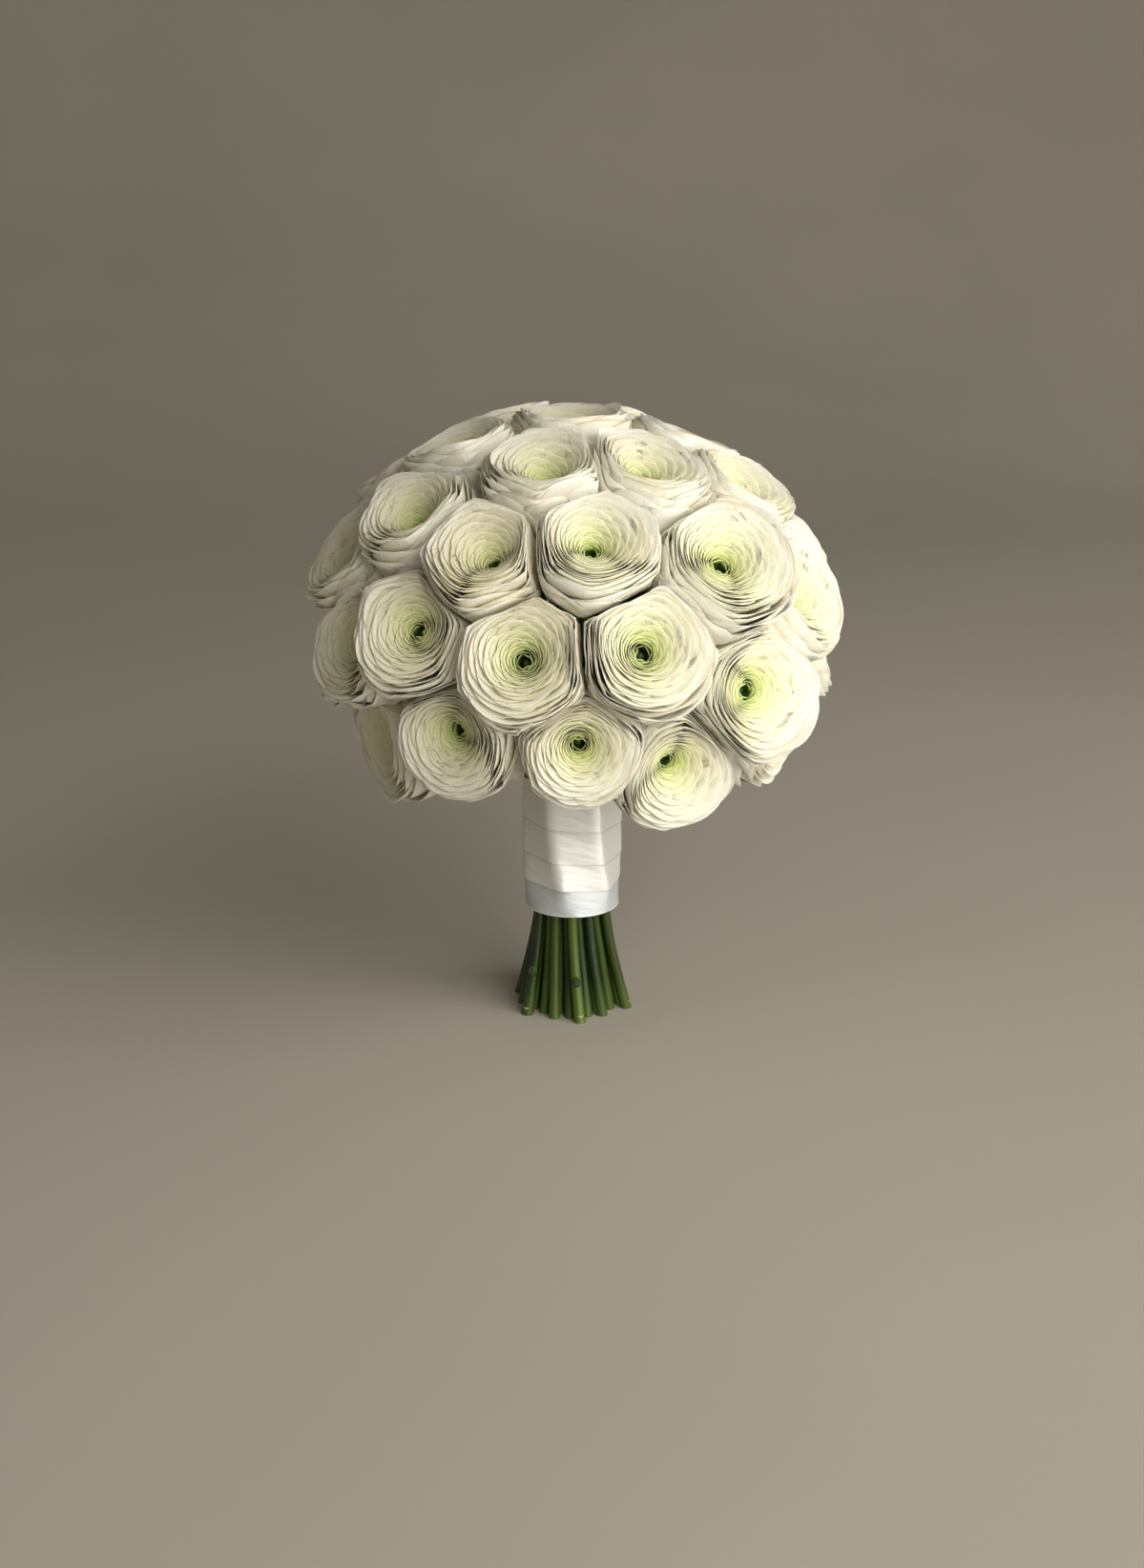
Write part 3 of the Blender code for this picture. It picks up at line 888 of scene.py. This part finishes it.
def match_stems(cells, blooms):
    """Gives each cell a bloom, by swaps that shorten the whole fan until no swap helps."""
    by_height = sorted(blooms, key=lambda bloom: bloom.polar)
    reach = [cell_place(cell, 1).length for cell in cells]
    fan = [bloom.foot.xy.normalized() * length for bloom, length in zip(by_height, reach)]
    chosen = list(range(len(cells)))

    def strain(cell, number):
        return (cell_place(cell, 1) - fan[number]).length_squared

    better = True
    while better:
        better = False
        for one in range(len(cells)):
            for two in range(one):
                now = strain(cells[one], chosen[one]) + strain(cells[two], chosen[two])
                then = strain(cells[one], chosen[two]) + strain(cells[two], chosen[one])
                if then < now - STRAIN_GAIN:
                    chosen[one], chosen[two] = chosen[two], chosen[one]
                    better = True
    return {cell: by_height[number] for cell, number in zip(cells, chosen)}


cells = hexagonal_bunch()
stem_blooms = match_stems(cells, blooms)
print("stems:", len(cells))

# %% [markdown]
# A stem spreads at its cut end, is drawn together by the binding, and bends out above it to its own
# bloom, where it widens into the green calyx. Its line could be a curve object, but the line is needed as
# points with their directions and radii, so it is stepped here by the frame's rule. Every stem then
# starts and ends where its solid does. Florists turn the bunch as they add to it, and the cut ends stand
# a little twisted from the top.

# %% Lines of the stems
STEM_PITCH_IN_HANDLE = 5.3 * MM
STEM_PITCH_AT_CUT = 8.3 * MM
CUT_JITTER = 0.7 * MM
BUNCH_TWIST = math.radians(9.0)
SPREAD_TOP_Z = 56 * MM
SPREAD_CURVE = 1.3
BEND_SHARE = 0.36
STEM_CLEARANCE = 0.4 * MM
CALYX_LENGTH = 5.5 * MM
STEM_RADIUS_AT_CUT = 2.9 * MM
STEM_RADIUS_IN_HANDLE = 2.35 * MM
STEM_RADIUS_AT_BLOOM = 2.0 * MM
CALYX_RADIUS = 4.0 * MM
SPREAD_STEPS = 8
HANDLE_STEPS = 3
BEND_STEPS = 9
CALYX_STEPS = 3


def cut_place(cell, draws):
    """Where a stem's cut end stands, with the frame's own draws."""
    x, y = cell_place(cell, STEM_PITCH_AT_CUT)
    jitter = 0.0 if cell == (0, 0) else CUT_JITTER
    return Vector((
        x * math.cos(BUNCH_TWIST) - y * math.sin(BUNCH_TWIST) + draws.uniform(-jitter, jitter),
        x * math.sin(BUNCH_TWIST) + y * math.cos(BUNCH_TWIST) + draws.uniform(-jitter, jitter),
        0.0,
    ))


def stem_line(cell, bloom, cut):
    """Centres, directions and radii along one stem, from its cut end to the calyx."""
    upright = Vector((0, 0, 1))
    held = cell_place(cell, STEM_PITCH_IN_HANDLE).to_3d()
    line = []
    for step in range(SPREAD_STEPS + 1):
        share = step / SPREAD_STEPS
        centre = held.lerp(cut, (1 - share) ** SPREAD_CURVE) + upright * SPREAD_TOP_Z * share
        radius = between(STEM_RADIUS_AT_CUT, STEM_RADIUS_IN_HANDLE, share)
        line.append((centre, upright, radius))
    for step in range(1, HANDLE_STEPS):
        height = between(SPREAD_TOP_Z, BINDING_Z, step / HANDLE_STEPS)
        line.append((held + upright * height, upright, STEM_RADIUS_IN_HANDLE))
    start = held + upright * BINDING_Z
    end = bloom.foot - bloom.axis * STEM_CLEARANCE
    calyx = end - bloom.axis * CALYX_LENGTH
    bend = (calyx - start).length * BEND_SHARE
    out = start + upright * bend
    back = calyx - bloom.axis * bend
    for step in range(BEND_STEPS + 1):
        share = step / BEND_STEPS
        centre, run = cubic_curve(start, out, back, calyx, share)
        radius = between(STEM_RADIUS_IN_HANDLE, STEM_RADIUS_AT_BLOOM, min(1, 3 * share))
        line.append((centre, run.normalized(), radius))
    for step in range(1, CALYX_STEPS + 1):
        share = step / CALYX_STEPS
        flare = between(STEM_RADIUS_AT_BLOOM, CALYX_RADIUS, math.sin(share * math.pi / 2))
        line.append((calyx.lerp(end, share), bloom.axis, flare))
    return line


cuts = {cell: cut_place(cell, draws) for cell in cells}
stem_lines = {cell: stem_line(cell, stem_blooms[cell], cuts[cell]) for cell in cells}
print("points on each line:", len(stem_lines[cells[0]]))

# %% [markdown]
# A ranunculus stem is a waxy, ribbed tube, dark green, with a few yellower ones among them, lighter low
# down and pale where it is cut. Its streaks run along it, so the finish needs to know where it is round
# the stem. That angle could be stored as it is, but it jumps where the tube closes. Its cosine and sine
# are stored, which don't.

# %% Stem finish
YOUNG_STEM = (0.10, 0.16, 0.008)
LOW_STEM = (0.10, 0.17, 0.015)
CUT_STEM = (0.42, 0.50, 0.20)
LOW_STEM_Z = 22 * MM


def make_stem_finish():
    finish = Finish("stem_green", Roughness=0.34, Specular_IOR_Level=0.5)
    side, over, along = finish.attribute("round")
    chance, height, cut = finish.attribute("stem")
    streaks = finish.noise(finish.join(side * 3.0, over * 3.0, along * 12.0 + chance * 30.0), 1.6, 3.0)
    colour = finish.ramp(streaks, [(0.25, (0.003, 0.010, 0.001)), (0.75, (0.016, 0.042, 0.003))])
    colour = finish.blend(colour, YOUNG_STEM, finish.step(chance, 0.40, 1.0) * 0.65)
    low = 1.0 - finish.step(height, 0.0, LOW_STEM_Z)
    colour = finish.blend(colour, LOW_STEM, low * 0.4)
    colour = finish.blend(colour, CUT_STEM, cut)
    finish.colour(colour)
    finish.bump(streaks, 0.4 * MM, 0.4)
    return finish.material


stem_finish = make_stem_finish()
print("made", stem_finish.name)

# %% [markdown]
# A curve with a round bevel would make a tube, but one without ribs. Here each stem starts as a flat grid
# that is rolled round its line, and its radius rises and falls as it goes round. The grid's two long
# sides meet in a seam, which is merged away.

# %% Roll the stems
STEM_SIDES = 12
STEM_RIBS = 6
RIB_DEPTH = 0.035
STEM_SWAY = 0.5 * MM
SEAM = 0.001 * MM


def stem_layers(bm):
    """The two layers of numbers that the stem finish reads."""
    layers = bm.verts.layers.float_vector
    return [layers.get(name) or layers.new(name) for name in ("round", "stem")]


def roll_stem(bm, cell, rng):
    """Adds one stem to a bmesh."""
    round_layer, stem_layer = stem_layers(bm)
    line = stem_lines[cell]
    bloom = stem_blooms[cell]
    sideways = Vector((math.cos(bloom.azimuth), math.sin(bloom.azimuth), 0))
    verts = lay_grid(bm, STEM_SIDES, len(line) - 1)
    chance = rng.random()
    sway = Vector((rng.uniform(-1, 1), rng.uniform(-1, 1), 0)) * STEM_SWAY
    for vert in verts:
        row = round((vert.co.y + 1) / 2 * (len(line) - 1))
        angle = (vert.co.x + 1) * math.pi
        centre, along, radius = line[row]
        height = centre.z
        if height < SPREAD_TOP_Z:
            centre = centre + sway * math.sin(math.pi * height / SPREAD_TOP_Z)
        radius *= 1 + RIB_DEPTH * math.cos(STEM_RIBS * angle)
        across = (sideways - along * sideways.dot(along)).normalized()
        over = along.cross(across)
        vert.co = centre + (across * math.cos(angle) + over * math.sin(angle)) * radius
        vert[round_layer] = (math.cos(angle), math.sin(angle), row / len(line))
        vert[stem_layer] = (chance, height, 0.0)
    bmesh.ops.remove_doubles(bm, verts=verts, dist=SEAM)


print("sides of a stem:", STEM_SIDES, "ribs:", STEM_RIBS)

# %% [markdown]
# A ranunculus stem is hollow, which shows where it is cut. A flat cap would be less work, but it would
# look like the end of a rod. So the open ends are filled, and each one that stands on the floor is inset
# and pushed up. The stems of a small bunch then become one piece, as they are one solid in the frame.

# %% Cut ends and small bunches
HOLLOW_WALL = 0.8 * MM
HOLLOW_LIP = 0.08 * MM
HOLLOW_DEPTH = 4 * MM
# What the stem finish reads inside a cut end: its chance, its height and how pale it is.
CUT_TONE = (0.5, 0.0, 1.0)


def close_ends(bm):
    """Fills the ends of the tubes, and hollows those that stand on the floor."""
    stem_layer = stem_layers(bm)[1]
    open_edges = [edge for edge in bm.edges if edge.is_boundary]
    caps = bmesh.ops.holes_fill(bm, edges=open_edges, sides=STEM_SIDES)["faces"]
    feet = [cap for cap in caps if cap.calc_center_median().z < 1 * MM]
    for cap in feet:
        for edge in cap.edges:
            edge.smooth = False
        for inset in (HOLLOW_WALL, HOLLOW_LIP):
            bmesh.ops.inset_region(bm, faces=[cap], thickness=inset, use_even_offset=True)
        bmesh.ops.translate(bm, verts=cap.verts[:], vec=(0, 0, HOLLOW_DEPTH))
        for vert in cap.verts:
            vert[stem_layer] = CUT_TONE


def make_stem_bunch(number, bunch, rng):
    name = f"stems_{number}" if number else "stems_middle"
    bm = bmesh.new()
    for cell in bunch:
        roll_stem(bm, cell, rng)
    close_ends(bm)
    for face in bm.faces:
        face.smooth = len(face.verts) == 4
    bmesh.ops.recalc_face_normals(bm, faces=bm.faces[:])
    return link_piece(name + "_green", make_mesh(name + "_green", bm, stem_finish), "stems", name)


def make_stems():
    middles = bunch_middles()
    rng = random.Random(SEED + 2)
    pieces = []
    for number in range(len(middles)):
        bunch = [cell for cell in cells if bunch_of(cell, middles) == number]
        pieces.append(make_stem_bunch(number, bunch, rng))
    return pieces


stem_pieces = make_stems()
print("faces of the stem bunches:", [len(piece.data.polygons) for piece in stem_pieces])

# %% [markdown]
# Where a leaf was stripped off, a stem keeps a small knobbly scar, darker than the stem. It could be a
# dark spot in the stem's finish, but it stands out from the side. Each is a ball, flattened and sunk into
# its stem, and given knobs by moving its points by a seeded amount.

# %% Leaf scars
# Where each scar's stem stands, the scar's height and the way it faces. The front two follow the
# photograph.
SCARS = [
    (Vector((0.006, -0.028, 0)), 20 * MM, Vector((0.0, -1.0, 0))),
    (Vector((-0.026, -0.016, 0)), 22 * MM, Vector((-0.2, -1.0, 0))),
    (Vector((0.015, 0.027, 0)), 26 * MM, Vector((0.3, 1.0, 0))),
]
SCAR_RADIUS = 2.3 * MM
SCAR_KNOBS = 0.35 * MM
SCAR_FLATTENING = 0.45
SCAR_STRETCH = 1.25
SCAR_SEAT = 0.8
SCAR_COLOURS = [(0.35, (0.004, 0.010, 0.002)), (0.7, (0.06, 0.10, 0.010))]


def line_place(line, height):
    """The centre and radius of a stem at a height below the binding."""
    for (low, _, low_radius), (high, _, high_radius) in zip(line, line[1:]):
        if low.z <= height < high.z:
            share = (height - low.z) / (high.z - low.z)
            return low.lerp(high, share), between(low_radius, high_radius, share)


def make_scars():
    bm = bmesh.new()
    rng = random.Random(SEED + 4)
    for place, height, facing in SCARS:
        cell = min(cells, key=lambda cell: (cuts[cell] - place).length)
        centre, radius = line_place(stem_lines[cell], height)
        facing = facing.normalized()
        ball = bmesh.ops.create_icosphere(bm, subdivisions=3, radius=SCAR_RADIUS)
        for vert in ball["verts"]:
            vert.co += vert.co.normalized() * rng.uniform(-SCAR_KNOBS, SCAR_KNOBS)
            vert.co -= facing * vert.co.dot(facing) * SCAR_FLATTENING
            vert.co.z *= SCAR_STRETCH
        bmesh.ops.translate(bm, verts=ball["verts"], vec=centre + facing * radius * SCAR_SEAT)
    finish = make_pebbled_finish(
        "scar_green", roughness=0.7, colours=SCAR_COLOURS, scale=1100.0, detail=3.0, relief=0.4 * MM,
    )
    return link_piece("leaf_scars", make_mesh("leaf_scars", bm, finish), "stems")


scars = make_scars()
print("leaf scars:", len(SCARS), "faces:", len(scars.data.polygons))

# %% [markdown]
# Under each bloom sit five sepals. They were the bud's green wrapping, and they fold back once it opens.
# They could be painted on the calyx, but from below and between the blooms their edges show. They are
# made as petals are, from flat grids with a rounded outline, and share the finish of the stems.

# %% Sepals
SEPALS = 5
SEPAL_GRID = 4
SEPAL_START = 2.2 * MM
SEPAL_LENGTH = 13 * MM
SEPAL_LENGTHS = (0.85, 1.1)
SEPAL_WIDEST = 0.35
SEPAL_NARROWING = 0.75
SEPAL_HALF_ANGLE = math.radians(31)
SEPAL_GAP = 0.2 * MM
SEPAL_ARCH = 1.2 * MM
SEPAL_DROP = 2.6 * MM
SEPAL_CUP = 0.5 * MM
SEPAL_WALL = 0.4 * MM
# What the stem finish reads on a sepal: its chance, its height and how pale it is.
SEPAL_TONE = (0.6, 0.1, 0.3)


def sepal_points(bloom, flat, number, rng):
    across, up = across_and_up(flat)
    length = SEPAL_LENGTH * rng.uniform(*SEPAL_LENGTHS)
    radius = SEPAL_START + length * up
    narrow = 1 - SEPAL_NARROWING * np.clip((up - SEPAL_WIDEST) / (1 - SEPAL_WIDEST), 0, 1) ** 2
    angle = bloom.spin + number * 2 * math.pi / SEPALS + SEPAL_HALF_ANGLE * across * narrow
    height = SEPAL_GAP + SEPAL_ARCH * np.sin(up * math.pi) - SEPAL_DROP * up ** 2
    height += SEPAL_CUP * across ** 2
    return bloom.points(radius, height, angle)


def make_sepals():
    bm = bmesh.new()
    round_layer, stem_layer = stem_layers(bm)
    rng = random.Random(SEED + 3)
    for bloom in blooms:
        for number in range(SEPALS):
            verts = lay_grid(bm, SEPAL_GRID, SEPAL_GRID)
            flat = np.array([vert.co for vert in verts])
            for vert, place in zip(verts, sepal_points(bloom, flat, number, rng)):
                vert[round_layer] = (vert.co.x, number, vert.co.y * 0.1)
                vert[stem_layer] = SEPAL_TONE
                vert.co = place
    shade_smooth(bm)
    piece = link_piece("sepals", make_mesh("sepals", bm, stem_finish), "stems")
    give_wall(piece, SEPAL_WALL)
    return piece


sepals = make_sepals()
print("sepals:", SEPALS * len(blooms), "faces:", len(sepals.data.polygons))

# %% [markdown]
# Satin is woven so that long threads lie side by side on its face. Light runs out across them into a
# streak, and the cloth looks bright on one side of the handle and dull on the next. A plain gloss would
# give a round spot. So the shader is anisotropic, turned so that the streak stands upright, and a little
# metallic, which gives silk its strong sheen. Fine noise stretched round the handle stands for the
# threads. The lowest wrap is a single layer, so the green under it greys it. A darker band is painted
# just below each lap edge, a painted shadow where each wrap slips under the next one up, and a thin
# painted highlight runs along the hem.

# %% Satin and tape finishes
# From the hem upwards, the lower edge of each wrap and the ribbon's top.
RIBBON_EDGES_Z = (53.5 * MM, 67 * MM, 81 * MM, 98 * MM, 120 * MM)
RIBBON_RADIUS = 23.15 * MM
RIBBON_SLANT = -1.6 * MM
# How far below each lap edge the painted shadow reaches.
LAP_PAINTED_SHADOW_WIDTH = 2.2 * MM
SATIN_SHADE = (0.80, 0.77, 0.70)
SINGLE_LAYER = (0.62, 0.67, 0.71)
# Painted shadow under each lap edge.
LAP_PAINTED_SHADOW = (0.52, 0.47, 0.38)
# Painted highlight along the hem's edge.
HEM_PAINTED_HIGHLIGHT = (0.93, 0.94, 0.95)


def make_satin_finish():
    finish = Finish("satin_ivory", Metallic=0.38, Anisotropic=0.9, Anisotropic_Rotation=0.25)
    place = finish.place()
    x, y, z = finish.axes(place)
    threads = finish.noise(finish.join(x * 60.0, y * 60.0, z * 4200.0), 1.0)
    cloud = finish.noise(place, 45.0, 3.0)
    folds = finish.noise(finish.join(x, y, z * 5.0 + x * 1.5), 28.0)
    colour = finish.ramp(threads, [(0.3, (0.92, 0.91, 0.88)), (0.7, (0.99, 0.985, 0.96))])
    colour = finish.blend(colour, SATIN_SHADE, finish.step(cloud, 0.5, 0.8) * 0.3)
    slanted = z - x * (RIBBON_SLANT / RIBBON_RADIUS)
    lowest = 1.0 - finish.step(slanted, RIBBON_EDGES_Z[1] - 0.6 * MM, RIBBON_EDGES_Z[1] + 0.2 * MM)
    colour = finish.blend(colour, SINGLE_LAYER, lowest * 0.75)
    # Painted shadow: a darker band just below each lap edge, under the wrap above.
    for edge in RIBBON_EDGES_Z[1:-1]:
        above = finish.step(slanted, edge, edge + 0.1 * MM)
        below = finish.step(slanted, edge - LAP_PAINTED_SHADOW_WIDTH, edge) * (1.0 - above)
        colour = finish.blend(colour, LAP_PAINTED_SHADOW, below * 0.4)
    # Painted highlight: a thin whiter band along the hem, where its edge catches the light.
    hem = 1.0 - finish.step(z, RIBBON_EDGES_Z[0] + 0.5 * MM, RIBBON_EDGES_Z[0] + 0.8 * MM)
    finish.colour(finish.blend(colour, HEM_PAINTED_HIGHLIGHT, hem))
    finish.roughness(0.36 + threads * 0.12)
    finish.bump(threads * 0.1 + folds * 2.0, 1.2 * MM, 0.5)
    return finish.material


def make_tape_finish():
    finish = Finish("tape_green", Roughness=0.65)
    x, y, z = finish.axes(finish.place())
    crepe = finish.noise(finish.join(x * 900.0, y * 900.0, z * 120.0), 1.0, 3.0)
    finish.colour(finish.ramp(crepe, [(0.3, (0.16, 0.24, 0.10)), (0.7, (0.28, 0.37, 0.20))]))
    finish.bump(crepe, 0.4 * MM, 0.6)
    return finish.material


satin_finish = make_satin_finish()
tape_finish = make_tape_finish()
print("made", satin_finish.name, "and", tape_finish.name)

# %% [markdown]
# The handle is bound with waxed tape, then wrapped in satin ribbon. Drawn tight, satin lies flat over the
# bunch's six sides and turns at its corners, which gives its long bright facets, and its hem pulls round.
# The ribbon is wound upwards, so each wrap laps over the one below it, at a slanting edge. Strips of
# cloth could be wound and settled by simulation. But wound this tight nothing hangs or moves, so a rolled
# grid with the six sides in its formula, and a step at each lap, gives the same shape. The tape is a tube
# of the same kind, wound in a spiral.

# %% Shape of the ribbon and the tape
FACETS = 6
FACET_REACH = 22.4 * MM
CORNER_REACH = 25.0 * MM
HEM_REACH = 23.4 * MM
FACET_POWER = 60.0
WRAP_ROWS = 5
RIBBON_STEP = 0.35 * MM
EDGE_RIPPLE = 0.35 * MM
SURFACE_RIPPLE = 0.12 * MM
# How far the facets are turned at each edge, from the hem up, which twists them a little.
WRAP_TURNS = (0.34, 0.30, 0.15, 0.05, 0.0)
TAPE_RADIUS = 21.2 * MM
TAPE_STEP = 0.3 * MM
TAPE_BOTTOM_Z = 58 * MM
TAPE_TOP_Z = 117 * MM
TAPE_WIDTH = 11 * MM


def facet_radius(angle, turn):
    """The six-sided section of the handle: flat sides with rounded corners."""
    side = 2 * math.pi / FACETS
    off = (angle - turn + side / 2) % side - side / 2
    return hold_below(FACET_REACH / np.cos(off), CORNER_REACH, FACET_POWER)


def ribbon_rows():
    """Each row's wrap and its share of the way up that wrap."""
    rows = []
    for wrap in range(len(RIBBON_EDGES_Z) - 1):
        rows += [(wrap, row / WRAP_ROWS) for row in range(WRAP_ROWS + 1)]
    return rows


def around_handle(radius, angle, height):
    return np.stack([radius * np.sin(angle), -radius * np.cos(angle), height], axis=1)


def ribbon_points(flat):
    rows = ribbon_rows()
    across, up = across_and_up(flat)
    row = np.rint(up * (len(rows) - 1)).astype(int)
    wrap = np.array([rows[number][0] for number in row])
    share = np.array([rows[number][1] for number in row])
    angle = (across + 1) * math.pi

    def up_the_wrap(edges):
        """The value at each point, from those at the edges of the wraps."""
        edges = np.array(edges)
        return between(edges[wrap], edges[wrap + 1], share)

    inner_edges = len(RIBBON_EDGES_Z) - 2
    tilt = up_the_wrap([0.0] + [RIBBON_SLANT] * inner_edges + [0.0])
    height = up_the_wrap(RIBBON_EDGES_Z) + tilt * np.sin(angle)
    height += EDGE_RIPPLE * np.sin(3 * angle + 2 * wrap) * (1 - share) * (wrap > 0)
    radius = facet_radius(angle, up_the_wrap(WRAP_TURNS)) - RIBBON_STEP * share
    radius += SURFACE_RIPPLE * np.sin(5 * angle + 40 * height / RIBBON_RADIUS)
    radius = between(radius, HEM_REACH, (1 - share) * (wrap == 0))
    return around_handle(radius, angle, height)


def tape_points(flat):
    """Tape wound in a spiral, each turn stretched over the last."""
    across, up = across_and_up(flat)
    angle = (across + 1) * math.pi
    height = between(TAPE_BOTTOM_Z, TAPE_TOP_Z, up)
    lap = (height / TAPE_WIDTH + angle / (2 * math.pi)) % 1.0
    return around_handle(TAPE_RADIUS - TAPE_STEP * lap, angle, height)


print("rows of the ribbon:", len(ribbon_rows()))

# %% [markdown]
# Both sleeves are made by one function: a grid is rolled up by its formula, its seam is merged, and it
# gets a wall towards the stems. Modifiers could smooth them, but that would soften the laps too. So they
# are shaded smooth everywhere but across sharp edges.

# %% Ribbon and tape
RIBBON_AROUND = 144
RIBBON_WALL = 0.35 * MM
TAPE_AROUND = 48
TAPE_ROWS = 60
TAPE_WALL = 0.5 * MM
INWARDS = -1.0
SHARP_TURN = math.radians(40)


def sharpen(mesh):
    """Shades a mesh smooth, but not across sharp edges."""
    bm = bmesh.new()
    bm.from_mesh(mesh)
    shade_smooth(bm)
    for edge in bm.edges:
        edge.smooth = edge.calc_face_angle(0.0) < SHARP_TURN
    bm.to_mesh(mesh)
    bm.free()


def make_sleeve(name, around, rows, bend, wall, finish, slot, node):
    """A grid rolled into a tube by a formula, with its seam merged and a wall towards the stems."""
    bm = bmesh.new()
    verts = lay_grid(bm, around, rows - 1)
    for vert, place in zip(verts, bend(np.array([vert.co for vert in verts]))):
        vert.co = place
    bmesh.ops.remove_doubles(bm, verts=bm.verts[:], dist=SEAM)
    bmesh.ops.recalc_face_normals(bm, faces=bm.faces[:])
    shade_smooth(bm)
    piece = link_piece(name, make_mesh(name, bm, finish), slot, node)
    give_wall(piece, wall, INWARDS)
    sharpen(piece.data)
    return piece


ribbon = make_sleeve(
    "ribbon_satin", RIBBON_AROUND, len(ribbon_rows()), ribbon_points, RIBBON_WALL, satin_finish,
    "ribbon", "ribbon_wrap",
)
tape = make_sleeve(
    "tape_wound", TAPE_AROUND, TAPE_ROWS, tape_points, TAPE_WALL, tape_finish,
    "tape", "binding_tape",
)
print("ribbon faces:", len(ribbon.data.polygons), "tape faces:", len(tape.data.polygons))

# %% [markdown]
# The stage is a plain pale sheet that sweeps up behind the bouquet, as a studio's paper roll does. A
# floor and a wall would do, but their corner would draw a line across the picture.

# %% Stage
SWEEP_WIDTH = 6.0
SWEEP_FRONT = 3.0
SWEEP_BACK = 1.3
SWEEP_RADIUS = 1.8
SWEEP_TOP = 3.0
SWEEP_ROWS = 90


def sweep_place(x, run):
    """A point on the sweep: along the floor, round the bend and up the wall."""
    turn = max(0.0, min((run - SWEEP_BACK) / SWEEP_RADIUS, math.pi / 2))
    rise = max(0.0, run - SWEEP_BACK - SWEEP_RADIUS * math.pi / 2)
    y = min(run, SWEEP_BACK) + SWEEP_RADIUS * math.sin(turn)
    return x, y, SWEEP_RADIUS * (1 - math.cos(turn)) + rise


def make_stage():
    finish = Finish("floor_pale", Roughness=0.85)
    cloud = finish.noise(finish.place(), 2.0)
    finish.colour(finish.ramp(cloud, [(0.3, (0.46, 0.425, 0.365)), (0.7, (0.50, 0.465, 0.40))]))
    bm = bmesh.new()
    lay_grid(bm, 1, SWEEP_ROWS)
    length = SWEEP_FRONT + SWEEP_BACK + SWEEP_RADIUS * math.pi / 2 + SWEEP_TOP
    for vert in bm.verts:
        run = (vert.co.y + 1) / 2 * length - SWEEP_FRONT
        vert.co = sweep_place(vert.co.x * SWEEP_WIDTH / 2, run)
    shade_smooth(bm)
    floor = bpy.data.objects.new("floor", make_mesh("floor", bm, finish.material))
    bpy.context.scene.collection.objects.link(floor)
    return floor


floor = make_stage()
print("stage faces:", len(floor.data.polygons))

# %% [markdown]
# In the photograph one wide soft light comes from the right, and a little warm light comes from all
# round. Many small lamps could stand for it, but they would cast many edges of shadow. One large panel
# from the right and the front does it, with a weak one that opens the shadows and a dim, warm world. The
# view transform is the plain one, because the filmic default greys the creams of the petals.

# %% Lights
# Name, place, where it points, size in metres, power in watts and colour.
LIGHTS = [
    ("side_light", (1.38, -1.26, 0.58), (0, 0, 0.16), 2.6, 76.0, (1.0, 0.97, 0.92)),
    ("front_fill", (0.5, -1.6, 0.9), (0, 0, 0.18), 1.4, 4.0, (1.0, 0.97, 0.93)),
]
WARM_COLOUR = (0.88, 0.82, 0.68)
WARM_STRENGTH = 0.165


def add_light(name, place, target, size, energy, colour):
    data = bpy.data.lights.new(name, "AREA")
    data.size = size
    data.energy = energy
    data.color = colour
    light = bpy.data.objects.new(name, data)
    light.location = place
    light.rotation_euler = (Vector(target) - Vector(place)).to_track_quat("-Z", "Y").to_euler()
    bpy.context.scene.collection.objects.link(light)


def set_world(colour, strength):
    world = bpy.data.worlds.new("warm_light")
    world.use_nodes = True
    background = world.node_tree.nodes["Background"]
    background.inputs["Color"].default_value = (*colour, 1.0)
    background.inputs["Strength"].default_value = strength
    bpy.context.scene.world = world


for light in LIGHTS:
    add_light(*light)
set_world(WARM_COLOUR, WARM_STRENGTH)
bpy.context.scene.view_settings.view_transform = "Standard"
bpy.context.scene.view_settings.exposure = 0.0
print("lights:", [name for name, *_ in LIGHTS])
